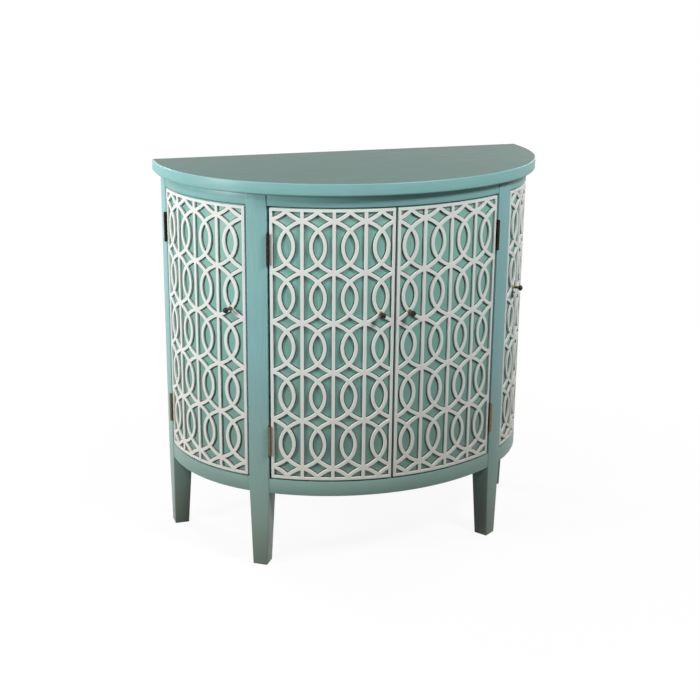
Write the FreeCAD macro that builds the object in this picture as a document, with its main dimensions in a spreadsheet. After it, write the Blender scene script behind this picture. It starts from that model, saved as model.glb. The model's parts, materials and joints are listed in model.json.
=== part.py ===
import FreeCAD
import Part
import Sketcher
import math
import os
import re

# Half-round chest with four curved doors. The plan is a three-centred half oval: one wide arc
# across the front, two tighter arcs round the sides and a short straight at each rear end.
# X runs to the right, Y to the back and Z up. The origin is on the floor, under the middle of
# the whole object. Lengths are in millimetres and angles in degrees.

SIZES = {
    # Plan of the outer faces of doors and rails
    "overall_height": 864,
    "centre_radius": 490,
    "side_radius": 323,
    "junction_angle": 34.5,
    "rear_straight": 42,
    # Top slab
    "top_thickness": 26,
    "top_overhang": 19,
    "top_lower_round": 4,
    # Posts and legs
    "leg_height": 175,
    "post_width": 45,
    "post_depth": 45,
    "post_proud": 1.5,
    "post_edge_ease": 2,
    "rear_post_width": 50,
    "foot_width": 33,
    "foot_front_inset": 1.5,
    # Rails, deck and back
    "rail_thickness": 18,
    "bottom_rail_height": 33,
    "top_rail_height": 26,
    "deck_thickness": 18,
    "back_rail_thickness": 18,
    "back_rail_height": 60,
    "back_panel_thickness": 6,
    # Inside
    "partition_thickness": 16,
    "shelf_top": 520,
    "shelf_thickness": 16,
    "shelf_setback": 14,
    "shelf_end_gap": 0.5,
    "cleat_width": 12,
    "cleat_height": 18,
    "cleat_end_gap": 15,
    "block_width": 36,
    "block_depth": 20,
    # Doors
    "door_thickness": 18,
    "hinge_gap": 3.4,
    "free_gap": 2.8,
    "level_gap": 2.5,
    # Fretwork overlay
    "fret_thickness": 5,
    "fret_setback": 0.3,
    "fret_edge_inset": 1.4,
    "fret_hinge_inset": 2.2,
    "fret_border": 6.2,
    "bar_width": 7.3,
    "stroke_width": 7.6,
    "column_pitch": 66.5,
    "row_pitch": 108.75,
    "oval_radius": 48.1,
    "first_row_drop": 25.2,
    "last_row_rise": 27.25,
    "centre_first_column": 2,
    "centre_last_column": -3.85,
    "side_first_column": 3.3,
    "side_last_column": 3.3,
    "smallest_hole": 5,
    # Hinges
    "hinge_length": 66,
    "hinge_end_distance": 88,
    "pin_radius": 1.5,
    "pin_clearance": 0.05,
    "knuckle_radius": 3.2,
    "knuckle_gap": 0.3,
    "knuckle_clearance": 0.3,
    "leaf_thickness": 1,
    "leaf_depth": 16,
    # Knobs
    "knob_length": 23,
    "knob_base_radius": 5,
    "knob_base_height": 2.5,
    "knob_stem_radius": 3.2,
    "knob_head_radius": 6.3,
    "knob_head_height": 7.5,
    "knob_head_ease": 2,
    # Catches and strikes
    "catch_width": 26,
    "catch_depth": 18,
    "catch_block_height": 18,
    "catch_gap": 0.4,
    "strike_width": 30,
    "strike_height": 12,
    "strike_thickness": 1.2,
    "strike_drop": 3,
    "catch_edge_distance": 20,
    # One overrun for all cuts
    "cut_overrun": 2,
}

# How many straight edges stand for a curve, and how many sides a small turned piece has
LENS_STEPS = 3
WAIST_STEPS = 3
BARREL_SIDES = 8
KNOB_SIDES = 12
KNUCKLES = 3

doc = FreeCAD.newDocument("accent_chest")
sheet = doc.addObject("Spreadsheet::Sheet", "Sizes")
for row, (word, number) in enumerate(SIZES.items(), start=1):
    sheet.set(f"A{row}", word)
    sheet.set(f"B{row}", str(number))
    sheet.setAlias(f"B{row}", word)
doc.recompute()


def linked(text):
    """Turn a formula in size names into one that reads the sheet."""
    return re.sub(r"[a-z]+(_[a-z]+)+", lambda found: "Sizes." + found.group(0), text)


def value(text):
    """Work out a formula in size names."""
    return float(sheet.evalExpression(linked(text)))


def bind(thing, prop, text):
    thing.setExpression(prop, linked(text))


def vector(x, y, z=0.0):
    return FreeCAD.Vector(x, y, z)


# Plan of the chest, in formulas that the sketches share
SIDE_CENTRE_X = "(centre_radius - side_radius) * sin(junction_angle)"
SIDE_CENTRE_Y = "0 - rear_straight"
FRONT_CENTRE_Y = "(centre_radius - side_radius) * cos(junction_angle) - rear_straight"
HALF_WIDTH = "(" + SIDE_CENTRE_X + " + side_radius)"
TOP_UNDERSIDE = "(overall_height - top_thickness)"
OPENING_BOTTOM = "(leg_height + bottom_rail_height)"
OPENING_TOP = "(overall_height - top_thickness - top_rail_height)"
DOOR_HEIGHT = "(" + OPENING_TOP + " - " + OPENING_BOTTOM + " - 2 * level_gap)"
# Each door's board is set back, so that its overlay lies level with the rails
DOOR_SETBACK = "(fret_setback + fret_thickness)"
HALF_TURN = 180
QUARTER_TURN = 90

side_centre_x = value(SIDE_CENTRE_X)
side_centre_y = value(SIDE_CENTRE_Y)
front_centre_y = value(FRONT_CENTRE_Y)
half_width = value(HALF_WIDTH)
top_underside = value(TOP_UNDERSIDE)
opening_bottom = value(OPENING_BOTTOM)
opening_top = value(OPENING_TOP)
door_bottom = value(OPENING_BOTTOM + " + level_gap")
door_height = value(DOOR_HEIGHT)
door_top = door_bottom + door_height
junction = value("junction_angle")
centre_radius = value("centre_radius")
side_radius = value("side_radius")
post_depth = value("post_depth")
post_proud = value("post_proud")


def degrees(length, radius):
    """Angle of a length of arc."""
    return math.degrees(length / radius)


# The fretwork's columns are counted from the hinge side, and the knob sits on the crossing of the
# last of them. The front of that knob is the foremost point of the chest.
COLUMNS = 4
ROWS = 5
KNOB_ROW = 2
centre_hinge_arc = value("post_width / 2 + hinge_gap")


def bar_spacing(fret_width, first_column, last_column):
    """Distance between the bars of an overlay, whose outermost lines lie near its two edges."""
    return (fret_width - first_column - last_column) / COLUMNS


def strip_meetings(fret_width, first_column, last_column):
    """Where an overlay's flat strips meet: its edges, its bars and the middles between bars."""
    half_pitch = bar_spacing(fret_width, first_column, last_column) / 2
    inner = [first_column + index * half_pitch for index in range(1, 2 * COLUMNS)]
    return [0] + inner + [fret_width]


def corner_share(meetings, radius):
    """How much further out the strips' meetings lie than a curve that their faces touch."""
    widest = max(end - start for start, end in zip(meetings, meetings[1:]))
    return 1 / math.cos(widest / radius / 2)


centre_overlay = (
    math.radians(junction) * centre_radius
    - centre_hinge_arc
    - value("free_gap / 2 + fret_hinge_inset + fret_edge_inset")
)
centre_columns = (value("centre_first_column"), value("centre_last_column"))
centre_knob_arc = (
    centre_overlay
    + value("free_gap / 2 + fret_edge_inset")
    - centre_columns[0]
    - (COLUMNS - 0.5) * bar_spacing(centre_overlay, *centre_columns)
)
centre_share = corner_share(strip_meetings(centre_overlay, *centre_columns), centre_radius)
knob_front = value("centre_radius - fret_setback") * centre_share + value("knob_length")
knob_turn = centre_knob_arc / centre_radius
knob_face_reach = value("knob_head_radius - knob_head_ease") * math.sin(knob_turn)
front_reach = knob_front * math.cos(knob_turn) + knob_face_reach - front_centre_y
back_y = front_reach / 2


def outward(angle):
    """Level direction, turned from the front towards the right."""
    turn = math.radians(angle)
    return vector(math.sin(turn), -math.cos(turn))


def along(angle):
    """Level direction at right angles to outward, the way the angle grows."""
    turn = math.radians(angle)
    return vector(math.cos(turn), math.sin(turn))


def arc_centre(part):
    """Centre of an arc of the plan: part is -1, 0 or 1 for left side, front or right side."""
    if part == 0:
        return vector(0, back_y + front_centre_y)
    return vector(part * side_centre_x, back_y + side_centre_y)


def arc_radius(part):
    return centre_radius if part == 0 else side_radius


# Helpers for bodies and sketches


def base_plane(body, role):
    for feature in body.Origin.OriginFeatures:
        if feature.Role == role:
            return feature
    raise ValueError(role)


def sketch_on(body, name, role, height=None):
    sketch = body.newObject("Sketcher::SketchObject", name)
    sketch.AttachmentSupport = [(base_plane(body, role), "")]
    sketch.MapMode = "FlatFace"
    if height is not None:
        bind(sketch, "AttachmentOffset.Base.z", height)
    return sketch


def constrain(sketch, name, formula, *where):
    """Add a dimension that follows a formula in size names."""
    kind, *places = where
    index = sketch.addConstraint(Sketcher.Constraint(kind, *places, value(formula)))
    sketch.renameConstraint(index, name)
    bind(sketch, "Constraints." + name, formula)


def closed_outline(sketch, corners):
    """Straight edges between corners that are pairs of formulas, each held by its place."""
    points = [vector(value(x), value(y)) for x, y in corners]
    count = len(points)
    for index, point in enumerate(points):
        sketch.addGeometry(Part.LineSegment(point, points[(index + 1) % count]), False)
    for index in range(count):
        sketch.addConstraint(Sketcher.Constraint("Coincident", index, 2, (index + 1) % count, 1))
    for index, (x, y) in enumerate(corners):
        constrain(sketch, f"corner_{index}_x", x, "DistanceX", -1, 1, index, 1)
        constrain(sketch, f"corner_{index}_y", y, "DistanceY", -1, 1, index, 1)


def rectangle(sketch, left, right, low, high):
    points = [(left, low), (right, low), (right, high), (left, high)]
    corners = [vector(value(x), value(y)) for x, y in points]
    for index, corner in enumerate(corners):
        sketch.addGeometry(Part.LineSegment(corner, corners[(index + 1) % 4]), False)
    for index in range(4):
        sketch.addConstraint(Sketcher.Constraint("Coincident", index, 2, (index + 1) % 4, 1))
        kind = "Vertical" if index % 2 else "Horizontal"
        sketch.addConstraint(Sketcher.Constraint(kind, index))
    constrain(sketch, "left_edge", left, "DistanceX", -1, 1, 0, 1)
    constrain(sketch, "right_edge", right, "DistanceX", -1, 1, 0, 2)
    constrain(sketch, "low_edge", low, "DistanceY", -1, 1, 0, 1)
    constrain(sketch, "high_edge", high, "DistanceY", -1, 1, 2, 1)


def eased_rectangle(sketch, left, right, low, high, ease):
    """A rectangle whose four corners are cut off at an even slope."""
    closed_outline(sketch, [
        (f"{left} + {ease}", low),
        (f"{right} - {ease}", low),
        (right, f"{low} + {ease}"),
        (right, f"{high} - {ease}"),
        (f"{right} - {ease}", high),
        (f"{left} + {ease}", high),
        (left, f"{high} - {ease}"),
        (left, f"{low} + {ease}"),
    ])


def half_oval(sketch, offset, back_edge):
    """The plan's outline, moved out by an offset, with its straight back at back_edge."""
    reach = value(offset)
    edge = value(back_edge)
    side = vector(side_centre_x, side_centre_y)
    front = vector(0, front_centre_y)
    up = vector(0, 0, 1)
    right = half_width + reach
    sketch.addGeometry(Part.LineSegment(vector(right, edge), vector(right, side.y)), False)
    turn = math.radians(junction)
    quarter = math.pi / 2
    right_circle = Part.Circle(side, up, side_radius + reach)
    sketch.addGeometry(Part.ArcOfCircle(right_circle, turn - quarter, 0), False)
    front_circle = Part.Circle(front, up, centre_radius + reach)
    sketch.addGeometry(Part.ArcOfCircle(front_circle, -turn - quarter, turn - quarter), False)
    left_circle = Part.Circle(vector(-side.x, side.y), up, side_radius + reach)
    sketch.addGeometry(Part.ArcOfCircle(left_circle, -2 * quarter, -turn - quarter), False)
    sketch.addGeometry(Part.LineSegment(vector(-right, side.y), vector(-right, edge)), False)
    sketch.addGeometry(Part.LineSegment(vector(-right, edge), vector(right, edge)), False)
    sketch.addConstraint([
        Sketcher.Constraint("Tangent", 0, 2, 1, 2),
        Sketcher.Constraint("Tangent", 1, 1, 2, 2),
        Sketcher.Constraint("Tangent", 2, 1, 3, 2),
        Sketcher.Constraint("Tangent", 3, 1, 4, 1),
        Sketcher.Constraint("Coincident", 4, 2, 5, 1),
        Sketcher.Constraint("Coincident", 5, 2, 0, 1),
        Sketcher.Constraint("Vertical", 0),
        Sketcher.Constraint("Vertical", 4),
        Sketcher.Constraint("Horizontal", 5),
        Sketcher.Constraint("Equal", 1, 3),
        Sketcher.Constraint("PointOnObject", 2, 3, -2),
        Sketcher.Constraint("Horizontal", 1, 3, 3, 3),
    ])
    constrain(sketch, "side_arc", f"side_radius + {offset}", "Radius", 1)
    constrain(sketch, "front_arc", f"centre_radius + {offset}", "Radius", 2)
    constrain(sketch, "side_centre_x", SIDE_CENTRE_X, "DistanceX", -1, 1, 1, 3)
    constrain(sketch, "side_centre_y", SIDE_CENTRE_Y, "DistanceY", -1, 1, 1, 3)
    constrain(sketch, "back_line", back_edge, "DistanceY", -1, 1, 5, 1)


def turned(angle):
    return FreeCAD.Rotation(vector(0, 0, 1), angle)


def pad(body, sketch, length, name="Pad"):
    feature = body.newObject("PartDesign::Pad", name)
    feature.Profile = sketch
    bind(feature, "Length", length)
    return feature


def slab(label, offset, back_edge, low, thickness):
    """A level board with the half-oval plan."""
    body = doc.addObject("PartDesign::Body", label)
    sketch = sketch_on(body, label + "_plan", "XY_Plane", low)
    half_oval(sketch, offset, back_edge)
    pad(body, sketch, thickness, label + "_board")
    body.Placement = FreeCAD.Placement(vector(0, back_y), FreeCAD.Rotation())
    return body


def board(label, left, right, front, back, low, thickness):
    """A straight board. Front and back are measured from the back plane, towards the front."""
    body = doc.addObject("PartDesign::Body", label)
    sketch = sketch_on(body, label + "_plan", "XY_Plane", low)
    rectangle(sketch, left, right, f"0 - ({front})", f"0 - ({back})")
    pad(body, sketch, thickness, label + "_board")
    body.Placement = FreeCAD.Placement(vector(0, back_y), FreeCAD.Rotation())
    return body


def band(label, part, middle, span, inner, outer, low, high):
    """A curved board: its section turned about the centre of its arc, half to each side."""
    body = doc.addObject("PartDesign::Body", label)
    section = sketch_on(body, label + "_section", "XZ_Plane")
    rectangle(section, inner, outer, low, high)
    sweep = body.newObject("PartDesign::Revolution", label + "_sweep")
    sweep.Profile = section
    sweep.ReferenceAxis = (section, ["V_Axis"])
    sweep.Midplane = True
    bind(sweep, "Angle", span)
    body.Placement = FreeCAD.Placement(arc_centre(part), turned(middle - QUARTER_TURN))
    return body


def cut(label, base, tool):
    piece = doc.addObject("Part::Cut", label)
    piece.Base = base
    piece.Tool = tool
    return piece


def joined(label, members):
    """Document objects that share one name."""
    compound = doc.addObject("Part::Compound", label)
    compound.Links = members
    return compound


def group(label, pieces):
    """Separate solids that share one name."""
    compound = doc.addObject("Part::Feature", label)
    compound.Shape = Part.makeCompound(pieces)
    return compound


pieces = []


def keep(thing):
    pieces.append(thing)
    return thing


# Top slab


def level_edges(body, height, wanted=lambda box: True):
    """Names of a body's edges that lie at a height."""
    doc.recompute()
    closeness = value("cut_overrun") / 1000
    names = []
    for index, edge in enumerate(body.Tip.Shape.Edges, start=1):
        box = edge.BoundBox
        if abs(box.ZMin - height) < closeness and abs(box.ZMax - height) < closeness and wanted(box):
            names.append(f"Edge{index}")
    return names


def ease(body, edges, size, name):
    """Cut the corner off some edges at an even slope."""
    feature = body.newObject("PartDesign::Chamfer", name)
    feature.Base = (body.Group[-2], edges)
    bind(feature, "Size", size)


top_panel = keep(slab("top_panel", "top_overhang", "0", TOP_UNDERSIDE, "top_thickness"))
back_strip = -value("top_overhang")
lower_rim = level_edges(top_panel, top_underside, lambda box: box.YMin < back_strip)
ease(top_panel, lower_rim, "top_lower_round * (2 - sqrt(2))", "lower_slope")

# Posts, each with its leg. In a post's own frame its face is towards -Y and its middle at X zero.


def post(label, width, place, angle):
    body = doc.addObject("PartDesign::Body", label)
    shaft = sketch_on(body, label + "_section", "XY_Plane", "leg_height")
    half = f"{width} / 2"
    front = "0 - post_proud"
    eased_rectangle(shaft, f"0 - {half}", half, front, "post_depth - post_proud", "post_edge_ease")
    pad(body, shaft, TOP_UNDERSIDE + " - leg_height", label + "_shaft")
    knee = sketch_on(body, label + "_knee", "XY_Plane", "leg_height")
    eased_rectangle(knee, f"0 - {half}", half, front, "post_depth - post_proud", "post_edge_ease")
    foot = sketch_on(body, label + "_foot", "XY_Plane")
    foot_front = "foot_front_inset - post_proud"
    foot_half = "foot_width / 2"
    foot_back = f"{foot_front} + foot_width"
    eased_rectangle(foot, f"0 - {foot_half}", foot_half, foot_front, foot_back, "post_edge_ease")
    leg = body.newObject("PartDesign::AdditiveLoft", label + "_leg")
    leg.Profile = foot
    leg.Sections = [knee]
    leg.Ruled = True
    body.Placement = FreeCAD.Placement(place, turned(angle))
    return body


def front_post_place(side):
    return arc_centre(0) + outward(side * junction) * centre_radius


def rear_post_place(side):
    return vector(side * half_width, back_y - value("rear_post_width") / 2)


SIDES = {"left": -1, "right": 1}
posts = {}
for word, side in SIDES.items():
    posts["front_" + word] = keep(
        post(f"front_{word}_leg", "post_width", front_post_place(side), side * junction)
    )
    posts["rear_" + word] = keep(
        post(f"rear_{word}_leg", "rear_post_width", rear_post_place(side), side * QUARTER_TURN)
    )
all_posts = joined("all_posts", list(posts.values()))

# Curved rails above and below the doors, cut to fit against the posts

RAIL_INNER = {0: "centre_radius - rail_thickness", 1: "side_radius - rail_thickness"}
RAIL_OUTER = {0: "centre_radius", 1: "side_radius"}
RAIL_SPAN = {0: "2 * junction_angle", 1: "90 - junction_angle"}
BAYS = {"left": -1, "centre": 0, "right": 1}
LEVELS = {"bottom": ("leg_height", OPENING_BOTTOM), "top": (OPENING_TOP, TOP_UNDERSIDE)}
for level, heights in LEVELS.items():
    rails = []
    for word, part in BAYS.items():
        arc = abs(part)
        middle = part * (junction + QUARTER_TURN) / 2
        name = f"{word}_{level}_rail"
        section = (RAIL_INNER[arc], RAIL_OUTER[arc], *heights)
        blank = band(name + "_blank", part, middle, RAIL_SPAN[arc], *section)
        rails.append(cut(name, blank, all_posts))
    keep(joined(level + "_rails", rails))

# Deck, back and partitions

deck_low = OPENING_BOTTOM + " - deck_thickness"
deck_blank = slab(
    "bottom_panel_blank", "0 - rail_thickness", "0 - back_rail_thickness", deck_low, "deck_thickness"
)
keep(cut("bottom_panel", deck_blank, all_posts))

BACK_HALF = f"({HALF_WIDTH} + post_proud - post_depth)"
BACK_RAIL_LOW = TOP_UNDERSIDE + " - back_rail_height"
BACK_PANEL_BACK = "back_rail_thickness - back_panel_thickness"


def back_board(label, back, low, height):
    """A board that fills the width between the rear posts, behind the deck and partitions."""
    ends = ("0 - " + BACK_HALF, BACK_HALF)
    return board(label, *ends, "back_rail_thickness", back, low, height)


keep(back_board("back_bottom_rail", "0", "leg_height", "bottom_rail_height"))
keep(back_board("back_top_rail", "0", BACK_RAIL_LOW, "back_rail_height"))
keep(back_board("back_panel", BACK_PANEL_BACK, OPENING_BOTTOM, BACK_RAIL_LOW + " - " + OPENING_BOTTOM))

# A partition runs straight back from the middle of each front post's inner face.
POST_BACK = "(centre_radius - post_depth + post_proud)"
PARTITION_X = POST_BACK + " * sin(junction_angle)"
PARTITION_FRONT = f"(centre_radius - post_depth / 2) * cos(junction_angle) - ({FRONT_CENTRE_Y})"
partition_x = value(PARTITION_X)
half_board = value("partition_thickness") / 2
for word, side in SIDES.items():
    sign = "0 - " if side < 0 else ""
    low_x = f"{sign}{PARTITION_X} - partition_thickness / 2"
    high_x = f"{sign}{PARTITION_X} + partition_thickness / 2"
    blank = board(
        f"{word}_partition_blank", low_x, high_x, PARTITION_FRONT, "back_rail_thickness",
        OPENING_BOTTOM, TOP_UNDERSIDE + " - " + OPENING_BOTTOM,
    )
    keep(cut(f"{word}_partition", blank, all_posts))

# Shelves, each a piece of the half-oval plan set back behind the doors

shelf_low = "shelf_top - shelf_thickness"
shelf_plan = slab(
    "shelf_plan", f"0 - {DOOR_SETBACK} - door_thickness - shelf_setback",
    "0 - back_rail_thickness - shelf_end_gap", shelf_low, "shelf_thickness",
)
shelf_stock = cut("shelf_stock", shelf_plan, all_posts)
INNER_EDGE = f"({PARTITION_X} - partition_thickness / 2 - shelf_end_gap)"
OUTER_EDGE = f"({PARTITION_X} + partition_thickness / 2 + shelf_end_gap)"
SHELF_FRONT = "centre_radius"
shelves = []
for word, part in BAYS.items():
    ends = {
        0: ("0 - " + INNER_EDGE, INNER_EDGE),
        -1: ("0 - " + HALF_WIDTH, "0 - " + OUTER_EDGE),
        1: (OUTER_EDGE, HALF_WIDTH),
    }[part]
    window = board(f"{word}_shelf_window", *ends, SHELF_FRONT, "0", shelf_low, "shelf_thickness")
    shelf = doc.addObject("Part::Common", f"{word}_shelf")
    shelf.Base = shelf_stock
    shelf.Tool = window
    shelves.append(shelf)
keep(joined("shelves", shelves))


def block(centre, angle, low_across, high_across, low_out, high_out, low, high):
    """A box in a frame turned to an angle: across it, outward from its centre, and up."""
    shape = Part.makeBox(
        high_across - low_across, high_out - low_out, high - low, vector(low_across, -high_out, low)
    )
    shape.Placement = FreeCAD.Placement(centre, turned(angle)).multiply(shape.Placement)
    return shape


cleat_width = value("cleat_width")
cleat_low = value(shelf_low + " - cleat_height")
cleat_high = value(shelf_low)
cleat_back = back_y - value("back_rail_thickness")
cleat_front = back_y - value(PARTITION_FRONT) + value("post_depth")
end_gap = value("cleat_end_gap")
cleats = []
for side in SIDES.values():
    for face in (partition_x - half_board - cleat_width, partition_x + half_board):
        left = face if side > 0 else -face - cleat_width
        corner = vector(left, cleat_front, cleat_low)
        length = cleat_back - end_gap - cleat_front
        cleats.append(Part.makeBox(cleat_width, length, cleat_high - cleat_low, corner))
    outer = value(BACK_HALF) - end_gap
    inner = partition_x + half_board + cleat_width + end_gap
    left = inner if side > 0 else -outer
    corner = vector(left, cleat_back - cleat_width, cleat_low)
    cleats.append(Part.makeBox(outer - inner, cleat_width, cleat_high - cleat_low, corner))
keep(group("shelf_cleats", cleats))

# Glue blocks behind each post, under the deck. The rear ones stop at the back rail.


def corner_block(place, angle, low_across, high_across):
    out = post_proud - post_depth
    levels = (value("leg_height"), value(deck_low))
    return block(place, angle, low_across, high_across, out - value("block_depth"), out, *levels)


block_half = value("block_width / 2")
rail_side = value("rear_post_width / 2 - back_rail_thickness")
blocks = []
for side in SIDES.values():
    rear_ends = sorted([-side * block_half, side * rail_side])
    blocks.append(corner_block(front_post_place(side), side * junction, -block_half, block_half))
    blocks.append(corner_block(rear_post_place(side), side * QUARTER_TURN, *rear_ends))
keep(group("corner_blocks", blocks))

# Doors. Each follows one arc of the plan from its free edge, nearer the middle of the chest, to
# its hinge edge. Angles are counted from the front, outwards to the door's own side.


class Door:
    def __init__(self, name, side, part):
        self.name = name
        self.side = side
        self.part = part
        self.radius = arc_radius(part)
        self.face = self.radius - value(DOOR_SETBACK)
        self.inner = self.face - value("door_thickness")
        self.centre = arc_centre(part)
        if part == 0:
            self.free = degrees(value("free_gap / 2"), self.radius)
            self.hinge = junction - degrees(centre_hinge_arc, self.radius)
            columns = centre_columns
            self.post_angle = junction
            self.post_place = front_post_place(side)
            post_half = value("post_width / 2")
        else:
            self.free = junction + degrees(value("post_width / 2 + free_gap"), self.radius)
            covered = value("rear_post_width - rear_straight + hinge_gap")
            self.hinge = QUARTER_TURN - degrees(covered, self.radius)
            columns = (value("side_first_column"), value("side_last_column"))
            self.post_angle = QUARTER_TURN
            self.post_place = rear_post_place(side)
            post_half = value("rear_post_width / 2")
        # The pins stand in line with the door's edge, with the barrels just clear of the overlay
        out = value("knuckle_radius + knuckle_clearance")
        across = post_half + value("hinge_gap")
        turn = side * self.post_angle
        self.pin = self.post_place + outward(turn) * out - along(turn) * side * across
        self.first_column = columns[0]
        self.pitch = bar_spacing(self.fret_width(), *columns)
        self.meetings = strip_meetings(self.fret_width(), *columns)
        self.corner_share = corner_share(self.meetings, self.radius)

    def angle(self, length):
        """Angle of a point of the door's face, by its arc length from the hinge edge."""
        return self.side * (self.hinge - degrees(length, self.radius))

    def width(self):
        return math.radians(self.hinge - self.free) * self.radius

    def fret_angle(self, length):
        """Angle of a point of the overlay, by its arc length from the overlay's hinge edge."""
        return self.angle(length + value("fret_hinge_inset"))

    def fret_width(self):
        return self.width() - value("fret_edge_inset + fret_hinge_inset")

    def fret_front(self):
        """Distance from the arc's centre at which the overlay's strips meet in front."""
        return (self.radius - value("fret_setback")) * self.corner_share

    def knob_column(self):
        return self.first_column + (COLUMNS - 0.5) * self.pitch


DOORS = [
    Door("left", -1, -1),
    Door("centre_left", -1, 0),
    Door("centre_right", 1, 0),
    Door("right", 1, 1),
]
DOOR_SPANS = {
    0: "junction_angle - (post_width / 2 + hinge_gap + free_gap / 2) / centre_radius * 180 / pi",
    1: "90 - junction_angle - (rear_post_width - rear_straight + hinge_gap + post_width / 2 + free_gap)"
    " / side_radius * 180 / pi",
}

# Outline of the fretwork's pattern, drawn for one cell of its usual size and stretched to fit the
# door. Each oval is centred on a bar, midway between two node lines. Its sides are arcs about that
# centre as far as the crossings with the next ovals, and flatter arcs, tangent there, carry on to
# a point on the node line.

pitch = value("column_pitch")
row_pitch = value("row_pitch")
oval_radius = value("oval_radius")
half_stroke = value("stroke_width") / 2
half_bar = value("bar_width") / 2
first_row = door_top - value("fret_edge_inset + first_row_drop")
last_row = door_bottom + value("fret_edge_inset + last_row_rise")
row_stretch = (first_row - last_row) / ROWS / row_pitch
crossing = math.sqrt(oval_radius**2 - (pitch / 2) ** 2)
step_x = pitch / 2
step_y = crossing - row_pitch / 2
shoulder_radius = (step_x**2 + step_y**2) * oval_radius / (2 * (step_x * pitch / 2 + step_y * crossing))
shoulder_share = 1 - shoulder_radius / oval_radius
shoulder_x = pitch / 2 * shoulder_share
shoulder_y = crossing * shoulder_share


def shoulder_height(x, offset):
    """Height above an oval's centre of its flatter arc, moved out by an offset."""
    return shoulder_y + math.sqrt((shoulder_radius + offset) ** 2 - (x - shoulder_x) ** 2)


def shares(count):
    return [index / count for index in range(count + 1)]


def lens():
    """Hole where two ovals overlap, about its own centre."""
    inner = oval_radius - half_stroke
    tip = math.acos(pitch / 2 / inner)
    turns = [tip - 2 * tip * share for share in shares(LENS_STEPS)]
    right = [(inner * math.cos(turn) - pitch / 2, inner * math.sin(turn)) for turn in turns]
    left = [(-x, -y) for x, y in right[1:-1]]
    return right + left


def diamond():
    """Hole between four ovals, about its own centre on a node line."""
    top = row_pitch / 2 - shoulder_height(pitch / 2, half_stroke)
    flat = row_pitch / 2 - shoulder_y
    across = pitch / 2 - shoulder_x - math.sqrt((shoulder_radius + half_stroke) ** 2 - flat**2)
    return [(across, 0), (0, top), (-across, 0), (0, -top)]


def flank():
    """Hole between a bar and the side of the next oval, about the middle of the bar's edge."""
    outer = oval_radius + half_stroke
    top = shoulder_height(half_bar, -half_stroke)
    tip = math.asin(shoulder_height(flank_corner(), -half_stroke) / outer)
    turns = [tip - 2 * tip * share for share in shares(WAIST_STEPS)]
    waist = [(pitch - outer * math.cos(turn), outer * math.sin(turn)) for turn in turns]
    return [(half_bar, top)] + waist + [(half_bar, -top)]


def flank_corner():
    """Where an oval's inner shoulder meets the next oval's outer side, by halving."""
    outer = oval_radius + half_stroke
    low, high = half_bar, pitch / 2
    for _ in range(40):
        x = (low + high) / 2
        inside = (pitch - x) ** 2 + shoulder_height(x, -half_stroke) ** 2 > outer**2
        low, high = (x, high) if inside else (low, x)
    return (low + high) / 2


def clipped(points, left, right, low, high):
    """Part of a polygon inside an upright rectangle."""

    def kept(points, inside, meet):
        result = []
        for index, point in enumerate(points):
            before = points[index - 1]
            if inside(point) != inside(before):
                result.append(meet(before, point))
            if inside(point):
                result.append(point)
        return result

    def crossing_point(axis, limit):
        def meet(start, end):
            share = (limit - start[axis]) / (end[axis] - start[axis])
            other = start[1 - axis] + (end[1 - axis] - start[1 - axis]) * share
            return (limit, other) if axis == 0 else (other, limit)

        return meet

    for axis, limit, sign in ((0, left, 1), (0, right, -1), (1, low, 1), (1, high, -1)):
        if points:
            points = kept(points, lambda p: (p[axis] - limit) * sign >= 0, crossing_point(axis, limit))
    return points


def area(points):
    total = 0
    for index, (x, y) in enumerate(points):
        before_x, before_y = points[index - 1]
        total += before_x * y - x * before_y
    return abs(total) / 2


def fret_holes(door):
    """Polygons of the holes, in arc length from the overlay's hinge edge and height."""
    border = value("fret_border")
    low = door_bottom + value("fret_edge_inset") + border
    high = door_top - value("fret_edge_inset") - border
    left, right = border, door.fret_width() - border
    waist = flank()
    mirrored = [(-x, y) for x, y in reversed(waist)]
    smallest = value("smallest_hole") ** 2
    for column in range(COLUMNS):
        for row in range(-1, ROWS + 1):
            shapes = [
                (column + 0.5, row + 0.5, lens()),
                (column, row + 0.5, waist),
                (column + 1, row + 0.5, mirrored),
                (column + 0.5, row, diamond()),
            ]
            for columns, rows, outline in shapes:
                x = door.first_column + columns * door.pitch
                y = first_row - rows * row_pitch * row_stretch
                placed = [(x + dx * door.pitch / pitch, y + dy * row_stretch) for dx, dy in outline]
                inside = clipped(placed, left, right, low, high)
                if len(inside) > 2 and area(inside) > smallest:
                    yield inside


def fretwork(door):
    """The overlay: flat strips that follow the door's curve, with holes cut square to its face.

    The strips meet on the bars and midway between them, so that each hole edge is one line.
    """
    thickness = value("fret_thickness")
    overrun = value("cut_overrun")
    directions = [outward(door.fret_angle(length)) for length in door.meetings]
    inner = [direction * door.face * door.corner_share for direction in directions]
    outer = [direction * door.fret_front() for direction in directions]
    plan = inner + outer[::-1]
    sheet_shape = Part.Face(Part.makePolygon(plan + plan[:1])).extrude(
        vector(0, 0, door_height - value("2 * fret_edge_inset"))
    )
    sheet_shape.translate(vector(0, 0, door_bottom + value("fret_edge_inset")))
    tools = []
    for outline in fret_holes(door):
        middle = sum(x for x, _ in outline) / len(outline)
        normal = outward(door.fret_angle(middle))
        corners = []
        for x, z in outline:
            point = outward(door.fret_angle(x)) * (door.face + thickness / 2)
            depth = point.dot(normal) - door.face + overrun
            corners.append(point - normal * depth + vector(0, 0, z))
        face = Part.Face(Part.makePolygon(corners + corners[:1]))
        tools.append(face.extrude(normal * (thickness + 2 * overrun)))
    piece = doc.addObject("Part::Feature", door.name + "_fretwork")
    piece.Shape = sheet_shape.cut(tools)
    piece.Placement = FreeCAD.Placement(door.centre, FreeCAD.Rotation())
    return piece


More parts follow.
